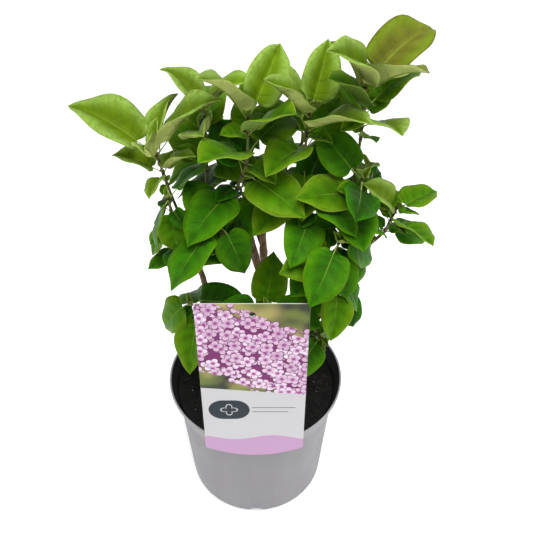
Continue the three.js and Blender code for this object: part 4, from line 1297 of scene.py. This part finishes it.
class LILAC_OT_label(bpy.types.Operator):
    """Makes the plant label that stands at the rim: a printed card on a plastic stake"""

    bl_idname = "lilac.label"
    bl_label = "Label"
    bl_options = {"REGISTER", "UNDO"}

    CORNER, FOOT_STEPS = 0.1375, 24  # height of the two lower corners; the round foot between them
    HOLE_RADIUS, HOLE_BELOW_TOP, HOLE_SIDES = 0.0023, 0.011, 48
    EDGE, STAKE_EDGE = 0.00008, 0.00035  # softened edges of the card and the stake
    FLORET = 0.0125  # size of a printed floret
    GARLAND = 0.262  # height of the garland's middle line
    PICTURE_LOW = 0.2155
    BAND_TOP = 0.1525
    BADGE, BADGE_HALF, BADGE_RADIUS = (-0.021, 0.191), 0.005, 0.0125
    RULES = [((0.017, 0.194), 0.018), ((0.014, 0.1885), 0.015)]  # middle and half length
    RULE_RADIUS = 0.00045
    PRINT_EDGE = 0.0002  # how soft the edges of the print are

    def execute(self, context):
        label = context.scene.lilac_label
        low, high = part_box("label_card")
        bm = bmesh.new()
        bm.from_mesh(self.card(low, high))
        stand = Matrix.Translation((0, (low[1] + high[1]) / 2, 0)) @ Matrix.Rotation(math.pi / 2, 4, "X")
        bmesh.ops.transform(bm, matrix=stand, verts=bm.verts)
        bmesh.ops.remove_doubles(bm, verts=bm.verts, dist=1e-6)
        bmesh.ops.recalc_face_normals(bm, faces=bm.faces)
        bm.normal_update()
        for face in bm.faces:
            face.smooth = False
            face.material_index = int(face.normal.y < -0.9)
        finishes = [self.paper(label), self.printed(label)]
        finish_piece("printed_card", bm, "label", "label_card", materials=finishes)
        self.stake(label)
        return {"FINISHED"}

    def card(self, low, high):
        """The card, lying flat, with its rounded foot, its hole and its softened edge."""
        curve = bpy.data.curves.new("card_outline", "CURVE")
        curve.dimensions = "2D"
        curve.fill_mode = "BOTH"
        thickness = high[1] - low[1]
        curve.extrude = thickness / 2 - self.EDGE
        curve.bevel_depth = self.EDGE
        half = (high[0] - low[0]) / 2 - curve.bevel_depth
        bottom = 2 * low[2] - self.CORNER
        steps = self.FOOT_STEPS
        foot = [bezier(self.CORNER, bottom, self.CORNER, i / steps) for i in range(steps + 1)]
        edge = [(-half + 2 * half * i / steps, z + curve.bevel_depth) for i, z in enumerate(foot)]
        top = high[2] - curve.bevel_depth
        edge += [(half, top), (-half, top)]
        hole_z = high[2] - self.HOLE_BELOW_TOP
        last = self.HOLE_SIDES - 1
        hole = arc((0, hole_z), self.HOLE_RADIUS, 0, -360 * last / self.HOLE_SIDES, last)
        for outline_points in (edge, hole):
            spline = curve.splines.new("POLY")
            spline.points.add(len(outline_points) - 1)
            spline.use_cyclic_u = True
            for point, (x, z) in zip(spline.points, outline_points):
                point.co = (x, z, 0, 1)
        flat = bpy.data.objects.new("card_outline", curve)
        bpy.context.scene.collection.objects.link(flat)
        bpy.context.view_layer.update()
        mesh = bpy.data.meshes.new_from_object(flat.evaluated_get(bpy.context.evaluated_depsgraph_get()))
        bpy.data.objects.remove(flat, do_unlink=True)
        return mesh

    def stake(self, label):
        """A copy of the stake's own strip with softened edges."""
        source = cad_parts["label_stake"]
        bm = bmesh.new()
        bm.from_mesh(source.data)
        bmesh.ops.remove_doubles(bm, verts=bm.verts, dist=1e-6)
        bmesh.ops.dissolve_limit(bm, angle_limit=math.radians(1), verts=bm.verts, edges=bm.edges)
        bmesh.ops.bevel(
            bm, geom=bm.edges[:], offset=self.STAKE_EDGE, offset_type="OFFSET", segments=3, profile=0.5,
            affect="EDGES", material=-1,
        )
        for face in bm.faces:
            face.smooth = True
        crease(bm, 40)
        finish = moulded_material("stake_white", label.paper, darker(label.paper, 0.93), 0.45)
        finish_piece("stake_strip", bm, "stake", "label_stake", materials=[finish])

    def paper(self, label):
        return moulded_material("card_back", label.paper, darker(label.paper, 0.96), 0.5)

    def printed(self, label):
        """The printed face: a garland of florets over blurred greenery, a plain part and a wavy band."""
        material, tree, shader, place = new_material("card_print", 0.34, Specular_IOR_Level=0.2)
        x, _, z = split(tree, place)
        flat = add(tree, "ShaderNodeCombineXYZ", {0: x, 1: z}).outputs[0]
        scaled = vector_calc(tree, "MULTIPLY", flat, (1 / self.FLORET,) * 3)
        cloud = add(tree, "ShaderNodeTexNoise", {"Vector": flat, "Scale": 34.0, "Detail": 1.5}).outputs["Fac"]
        picture = blend(tree, ease(tree, cloud, 0.4, 0.6), linear(label.garden_dark), linear(label.garden))
        warm = add(tree, "ShaderNodeTexNoise", {"Vector": flat, "Scale": 21.0, "Detail": 1.0}).outputs["Fac"]
        picture = blend(tree, ease(tree, warm, 0.5, 0.66), picture, linear(label.garden_warm))
        slant = minus(tree, times(tree, x, -0.45), minus(tree, z, self.GARLAND))
        ragged = plus(tree, calc(tree, "ABSOLUTE", slant), times(tree, cloud, 0.012))
        picture = blend(tree, ease(tree, ragged, 0.042, 0.037), picture, linear(label.petal_gap))
        for shift, size in ((0.0, 1.1), (0.47, 1.0), (0.81, 1.0)):
            picture = self.florets(tree, label, picture, scaled, shift, size, slant)
        ripple = times(tree, calc(tree, "SINE", times(tree, x, 95.0)), 0.0028)
        band_edge = plus(tree, self.BAND_TOP, ripple)
        plain = blend(tree, self.above(tree, z, band_edge), linear(label.band), linear(label.paper))
        for middle, half in self.RULES:
            rule = self.rounded(tree, x, z, middle, half, self.RULE_RADIUS)
            plain = blend(tree, times(tree, rule, 0.75), plain, linear(label.badge))
        badge = self.rounded(tree, x, z, self.BADGE, self.BADGE_HALF, self.BADGE_RADIUS)
        plain = blend(tree, badge, plain, linear(label.badge))
        plain = blend(tree, self.flower(tree, x, z), plain, linear(label.paper))
        picture_edge = plus(tree, self.PICTURE_LOW, times(tree, x, -0.1))
        wire(tree, shader, blend(tree, self.above(tree, z, picture_edge), plain, picture))
        return material

    def above(self, tree, z, edge):
        return ease(tree, minus(tree, z, edge), -self.PRINT_EDGE, self.PRINT_EDGE)

    def distance(self, tree, dx, dz):
        return calc(tree, "SQRT", plus(tree, times(tree, dx, dx), times(tree, dz, dz)))

    def rounded(self, tree, x, z, middle, half, radius):
        """A level bar with round ends."""
        aside = calc(tree, "ABSOLUTE", minus(tree, x, middle[0]))
        dx = calc(tree, "MAXIMUM", minus(tree, aside, half), 0.0)
        away = self.distance(tree, dx, minus(tree, z, middle[1]))
        return ease(tree, away, radius + self.PRINT_EDGE, radius - self.PRINT_EDGE)

    def flower(self, tree, x, z):
        """The plain four-petalled outline on the badge."""
        dx, dz = minus(tree, x, self.BADGE[0]), minus(tree, z, self.BADGE[1])
        turned = times(tree, calc(tree, "ARCTAN2", dz, dx), 2.0)
        reach = plus(tree, times(tree, calc(tree, "ABSOLUTE", calc(tree, "COSINE", turned)), 0.004), 0.003)
        off = calc(tree, "ABSOLUTE", minus(tree, reach, self.distance(tree, dx, dz)))
        return ease(tree, off, 0.0007, 0.0004)

    def florets(self, tree, label, behind, scaled, shift, size, slant):
        """One layer of four-petalled florets with dark gaps round them, kept to a slanting garland."""
        moved = vector_calc(tree, "ADD", scaled, (shift * 7, shift * 5, 0))
        cells = add(tree, "ShaderNodeTexVoronoi", {"Vector": moved, "Scale": 1.0 / size, "Randomness": 0.75},
                    voronoi_dimensions="2D")
        centred = vector_calc(tree, "SUBTRACT", moved, cells.outputs["Position"])
        dx, dy, _ = split(tree, centred)
        tone = add(tree, "ShaderNodeSeparateColor", {0: cells.outputs["Color"]}).outputs
        turned = plus(tree, times(tree, calc(tree, "ARCTAN2", dy, dx), 2.0),
                      times(tree, tone[0], ANY_TURN))
        lobe = calc(tree, "SQRT", calc(tree, "ABSOLUTE", calc(tree, "COSINE", turned)))
        reach = plus(tree, times(tree, lobe, 0.34 * size), 0.14 * size)
        radius = self.distance(tree, dx, dy)
        inside = minus(tree, reach, radius)
        shade = ease(tree, radius, 0.04, 0.26 * size)
        petal = blend(tree, shade, linear(label.petal_deep), linear(label.petal))
        petal = blend(tree, ease(tree, inside, 0.09, 0.0, 0.0, 0.8), petal, (1, 0.94, 0.99, 1))
        petal = blend(tree, times(tree, tone[1], 0.45), petal, linear(label.petal_deep))
        wobble = times(tree, minus(tree, tone[1], 0.5), 0.02)
        within = ease(tree, calc(tree, "ABSOLUTE", plus(tree, slant, wobble)), 0.038, 0.036)
        shown = times(tree, ease(tree, inside, -0.12, 0.0), within)
        gaps = blend(tree, shown, behind, linear(label.petal_gap))
        return blend(tree, times(tree, ease(tree, inside, 0.0, 0.04), within), gaps, petal)


class LILAC_OT_wood(bpy.types.Operator):
    """Makes the trunk and the boughs, with the bark's relief, swollen joints and a pruned stub"""

    bl_idname = "lilac.wood"
    bl_label = "Trunk and boughs"
    bl_options = {"REGISTER", "UNDO"}

    SIDES, STEP = 28, 1.6
    CUT = 1  # place of the finish of bare wood; bark is 0

    def execute(self, context):
        bark = context.scene.lilac_bark
        trunk, boughs, shoots = grown_bush()
        finishes = [bark_material("bark", bark), peat_material("cut_wood", bark.bark, bark.wood, 0.7)]
        for plan in (trunk, *boughs.values()):
            joints = [b["at"] for b in BOUGHS.values()] if plan is trunk else []
            joints += [s.at for name, s in shoots.items() if "bough_" + SHOOTS[name]["from"] == plan.name]
            bm = uv_bmesh()
            self.limb(bm, plan, joints, bark.relief / MM)
            finish_piece("bark_" + plan.name, bm, "bark", plan.name, materials=finishes)
        return {"FINISHED"}

    def limb(self, bm, plan, joints, relief):
        """A tube whose radius swells at the joints, split by fissures that run along it."""
        course = plan.course
        steps = max(8, round(course.length / self.STEP))
        points = [course.point(i / steps) for i in range(steps + 1)]
        swell = [1 + self.swelling(i / steps, course.length, joints) for i in range(steps + 1)]
        radii = [plan.radius(i / steps) * swell[i] for i in range(steps + 1)]
        verts = add_tube(bm, points, radii, self.SIDES)
        middles = [Vector(p) * MM for p in points]
        seed = chance(len(plan.name), round(course.length)) * 50
        for vertex in verts:
            middle = min(middles, key=lambda m: (m - vertex.co).length_squared)
            out = vertex.co - middle
            if out.length < 1e-6:
                continue
            spot = vertex.co / MM
            ridge = noise.noise(Vector((spot.x * 0.75, spot.y * 0.75, spot.z * 0.16 + seed)))
            lump = noise.noise(Vector((spot.x * 0.2, spot.y * 0.2, spot.z * 0.12 + seed)))
            vertex.co += out.normalized() * (ridge * relief + lump * 0.5) * MM
        if plan.name == "bough_stub":
            self.prune(bm, plan)

    def swelling(self, share, length, joints):
        return sum(0.16 * math.exp(-(((share - at) * length / 5) ** 2)) for at in joints)

    def prune(self, bm, plan):
        """A slanting clean cut across the end, in bare wood."""
        end = Vector(plan.course.point(0.985)) * MM
        way = Vector(plan.course.tangent(1)) + Vector((0.3, -0.2, 0.1))
        geometry = bm.verts[:] + bm.edges[:] + bm.faces[:]
        cut = bmesh.ops.bisect_plane(bm, geom=geometry, plane_co=end, plane_no=way, clear_outer=True)
        rim = [e for e in cut["geom_cut"] if isinstance(e, bmesh.types.BMEdge)]
        for face in bmesh.ops.contextual_create(bm, geom=rim)["faces"]:
            face.material_index = self.CUT
            face.smooth = False
            for edge in face.edges:
                edge.smooth = False


class LILAC_OT_foliage(bpy.types.Operator):
    """Grows the shoots: their stems, petioles and buds, and the heart-shaped leaves in pairs"""

    bl_idname = "lilac.foliage"
    bl_label = "Shoots and leaves"
    bl_options = {"REGISTER", "UNDO"}

    TINTS = 5
    DEEP, GREEN, FRESH, LIME, BRONZE = range(TINTS)  # places of the upper faces' finishes
    BARK, RIB, BUD = range(3)  # and of the twigs'
    STEM_SIDES, PETIOLE_SIDES, STEM_STEP = 10, 7, 2.5
    TIP_DRAWS = 77  # second key of the chances drawn for the last, unfolding pair

    def execute(self, context):
        leaf, bark = context.scene.lilac_leaf, context.scene.lilac_bark
        faces = self.leaf_finishes(leaf)
        twigs = [
            stem_material("shoot_bark", bark.shoot_low, bark.shoot_high, bark.lenticel),
            stem_material("leaf_ribs", leaf.rib, darker(leaf.rib, 1.08), leaf.under_young),
            peat_material("bud_scales", bark.bud, bark.shoot_low, 0.5),
        ]
        for name, shoot in grown_bush()[2].items():
            blades = uv_bmesh()
            stems = uv_bmesh()
            self.stem(stems, shoot)
            for grown in shoot.leaves + self.tip_leaves(shoot):
                add_blade(blades, grown, leaf, self.tint(name, grown))
                self.rib(stems, grown, leaf)
            self.buds(stems, shoot)
            piece = finish_piece("leaves_" + name, blades, "foliage", materials=faces, recalculate=False)
            shell = piece.modifiers.new("Thickness", "SOLIDIFY")
            shell.thickness = leaf.thickness
            shell.offset = -1
            shell.material_offset = self.TINTS
            shell.material_offset_rim = 0
            finish_piece("twigs_" + name, stems, "foliage", "shoot_" + name, materials=twigs, weld=1e-7)
            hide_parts("shoot_" + name)
        return {"FINISHED"}

    def leaf_finishes(self, leaf):
        """The upper faces, one for each tint, and then the undersides in the same order."""
        finish = functools.partial(leaf_material, vein_count=float(leaf.veins))
        upper = [
            finish("leaf_deep", leaf.deep, leaf.green, leaf.fresh, leaf.rib),
            finish("leaf_green", leaf.green, leaf.fresh, leaf.lime, leaf.rib),
            finish("leaf_fresh", leaf.fresh, leaf.lime, leaf.rib, leaf.rib),
            finish("leaf_lime", leaf.lime, leaf.under, leaf.rib, leaf.rib, depth=0.25),
            finish("leaf_bronze", leaf.bronze, leaf.lime, leaf.bronze_dark, leaf.rib, depth=0.3),
        ]
        under = {"gloss": 0.6, "depth": 0.1, "vein_share": 0.3}
        grown = finish("under_grown", leaf.under, leaf.under, leaf.rib, leaf.rib, **under)
        young = finish("under_young", leaf.under_young, leaf.under_young, leaf.rib, leaf.rib, **under)
        return upper + [grown, grown, grown, young, young]

    def tint(self, name, leaf):
        """Young leaves are lime, and bronze at the tallest tip; older ones vary between three greens."""
        draw = chance(*leaf.keys, 20)
        if leaf.young > 0.72:
            return self.BRONZE if name == "tall" and draw < 0.75 else self.LIME
        if leaf.young > 0.3:
            return self.FRESH if draw < 0.7 else self.LIME
        return self.DEEP if draw < 0.3 else self.GREEN if draw < 0.78 else self.FRESH

    def stem(self, bm, shoot):
        """The shoot's stem, a little thicker at each pair of leaves."""
        course = shoot.course
        steps = max(6, round(course.length / self.STEM_STEP))
        nodes = sorted({round(self.share_of(course, leaf.node), 3) for leaf in shoot.leaves})
        points = [course.point(i / steps) for i in range(steps + 1)]
        radii = []
        for i in range(steps + 1):
            near = min((abs(i / steps - at) * course.length for at in nodes), default=math.inf)
            radii.append(shoot.radius(i / steps) * (0.8 + 0.25 * math.exp(-((near / 2.2) ** 2))))
        radii[-1] *= 0.7
        add_tube(bm, points, radii, self.STEM_SIDES, self.BARK)

    def share_of(self, course, point):
        shares = np.linspace(0, 1, 101)
        return shares[int(np.argmin([((course.point(u) - point) ** 2).sum() for u in shares]))]

    def rib(self, bm, leaf, settings):
        """Petiole and midrib in one: curved from the stem to the blade, then along its underside."""
        bend = leaf.node + leaf.rise * leaf.length * LEAF["petiole"] * 0.6
        petiole = [bezier(leaf.node, bend, leaf.base, t) for t in np.linspace(0, 1, 8)]
        size = 0.55 + 0.45 * min(1, leaf.length / 50)
        thick = [(0.8 - 0.32 * min(1, i / 3)) * size for i in range(7)]
        shares = np.linspace(0.02, 0.96, 12)
        spine = self.spine(leaf, settings, shares)
        thin = 0.34 * size * (1 - shares) ** 0.8 + 0.08
        spine = spine - normals_at(leaf, shares) * (thin * 0.4 + settings.thickness / MM)[:, None]
        add_tube(bm, [*petiole[:-1], *spine], [*thick, *thin], self.PETIOLE_SIDES, self.RIB)

    def spine(self, leaf, settings, shares):
        """Points on the middle line of the blade's upper face."""
        table_shares, table = blade_course()
        q = np.interp(shares, table[:, 0], table_shares)
        return blade_surface(leaf, settings, np.zeros(len(q)), q)

    def tip_leaves(self, shoot):
        """The last, unfolding pair of small leaves at a growing tip."""
        tip = SimpleNamespace(**vars(shoot))
        young = shoot.young[1]
        tip.young, tip.open, tip.droop = [young, max(young, 0.6)], [20, 24], [0, -0.1]
        tip.size, tip.bow = [0.3, 0.3], [20, 25]
        leaves = []
        for side in (0, 1):
            leaf = plan_leaf(tip, shoot.pairs, side, 0, share=0.99, scale=0.75 + 0.25 * young)
            leaf.keys = [shoot.place, self.TIP_DRAWS, side, 0]
            leaf.fold = math.radians(46)
            leaves.append(leaf)
        return leaves

    def buds(self, bm, shoot):
        """A small pointed bud in each leaf's axil and a larger one at the tip."""
        places = [(leaf.node, unit(leaf.rise + shoot.course.tangent(0.5)), 1.1) for leaf in shoot.leaves]
        tangent = shoot.course.tangent(1)
        places.append((shoot.course.point(1) - tangent, tangent, 1.6))
        for node, way, size in places:
            foot = node + way * 1.2
            points = [foot + way * size * step for step in (0, 0.6, 1.4, 2.1)]
            radii = [size * share for share in (0.7, 0.85, 0.5, 0.08)]
            add_tube(bm, points, radii, self.PETIOLE_SIDES, self.BUD)
        for node in {tuple(leaf.node) for leaf in shoot.leaves}:
            share = self.share_of(shoot.course, vec(node))
            way = shoot.course.tangent(share)
            size = shoot.radius(share)
            collar = [vec(node) + way * step for step in (-1.0, -0.4, 0.5, 1.1)]
            radii = [size * wide for wide in (0.95, 1.14, 1.12, 0.9)]
            add_tube(bm, collar, radii, self.STEM_SIDES, self.BUD)


class LILAC_OT_stage(bpy.types.Operator):
    """Lays the pale floor, sets the soft studio lights and places the camera"""

    bl_idname = "lilac.stage"
    bl_label = "Stage"
    bl_options = {"REGISTER", "UNDO"}

    FLOOR_REACH = 12  # from the middle to each side
    LIGHT_SIZE = 0.9
    SENSOR = 36  # in millimetres, as the lens
    LIGHTS = {"key": (0.15, -0.4, 1.6), "fill_left": (-1.2, -0.3, 0.7), "fill_right": (1.2, -0.3, 0.7)}
    AIM = (0, 0, 0.25)  # the middle of the potted bush

    def execute(self, context):
        stage = context.scene.lilac_stage
        bm = bmesh.new()
        bmesh.ops.create_grid(bm, x_segments=2, y_segments=2, size=self.FLOOR_REACH)
        mesh = bpy.data.meshes.new("floor")
        bm.to_mesh(mesh)
        bm.free()
        floor = bpy.data.objects.new("floor", mesh)
        context.scene.collection.objects.link(floor)
        material = new_material("floor", 0.7, Base_Color=linear(stage.floor), Emission_Strength=stage.glow,
                                Emission_Color=(1, 1, 1, 1))[0]
        mesh.materials.append(material)
        world = bpy.data.worlds.new("studio")
        context.scene.world = world
        world.use_nodes = True
        world.node_tree.nodes["Background"].inputs["Color"].default_value = (1, 1, 1, 1)
        world.node_tree.nodes["Background"].inputs["Strength"].default_value = stage.sky
        for name, spot in self.LIGHTS.items():
            self.light(name, stage.key if name == "key" else stage.fill, spot)
        camera = bpy.data.cameras.new("camera")
        camera.lens = stage.lens
        camera.sensor_width = self.SENSOR
        holder = bpy.data.objects.new("camera", camera)
        holder.location = (stage.aside, -stage.back, stage.raised)
        holder.rotation_euler = (math.pi / 2 - stage.pitch, 0, 0)
        context.scene.collection.objects.link(holder)
        context.scene.camera = holder
        context.scene.view_settings.view_transform = "Standard"
        return {"FINISHED"}

    def light(self, name, power, place):
        """A square soft light that faces the middle of the potted bush."""
        data = bpy.data.lights.new(name, "AREA")
        data.energy = power
        data.size = self.LIGHT_SIZE
        lamp = bpy.data.objects.new(name, data)
        lamp.location = place
        aim = Vector(self.AIM) - Vector(place)
        lamp.rotation_euler = aim.to_track_quat("-Z", "Y").to_euler()
        bpy.context.scene.collection.objects.link(lamp)


# ---------------------------------------------------------------- the add-on

SETTINGS = {
    "lilac_pot": PotSettings,
    "lilac_peat": PeatSettings,
    "lilac_label": LabelSettings,
    "lilac_bark": BarkSettings,
    "lilac_leaf": LeafSettings,
    "lilac_stage": StageSettings,
}
STEPS = [LILAC_OT_pot, LILAC_OT_peat, LILAC_OT_label, LILAC_OT_wood, LILAC_OT_foliage, LILAC_OT_stage]


class LILAC_PT_bush(bpy.types.Panel):
    """Lists the pieces of the bush with their settings"""

    bl_label = "Potted Lilac Bush"
    bl_idname = "LILAC_PT_bush"
    bl_space_type = "VIEW_3D"
    bl_region_type = "UI"
    bl_category = "Lilac"

    def draw(self, context):
        for step, key in zip(STEPS, SETTINGS):
            box = self.layout.box()
            box.operator(step.bl_idname)
            for name in SETTINGS[key].__annotations__:
                box.prop(getattr(context.scene, key), name)


def register():
    for cls in (*SETTINGS.values(), *STEPS, LILAC_PT_bush):
        bpy.utils.register_class(cls)
    for key, cls in SETTINGS.items():
        setattr(bpy.types.Scene, key, PointerProperty(type=cls))


def unregister():
    for key in SETTINGS:
        delattr(bpy.types.Scene, key)
    for cls in reversed((*SETTINGS.values(), *STEPS, LILAC_PT_bush)):
        bpy.utils.unregister_class(cls)


def main():
    register()
    bpy.ops.lilac.pot()
    bpy.ops.lilac.peat()
    bpy.ops.lilac.label()
    bpy.ops.lilac.wood()
    bpy.ops.lilac.foliage()
    bpy.ops.lilac.stage()


if __name__ == "__main__":
    main()
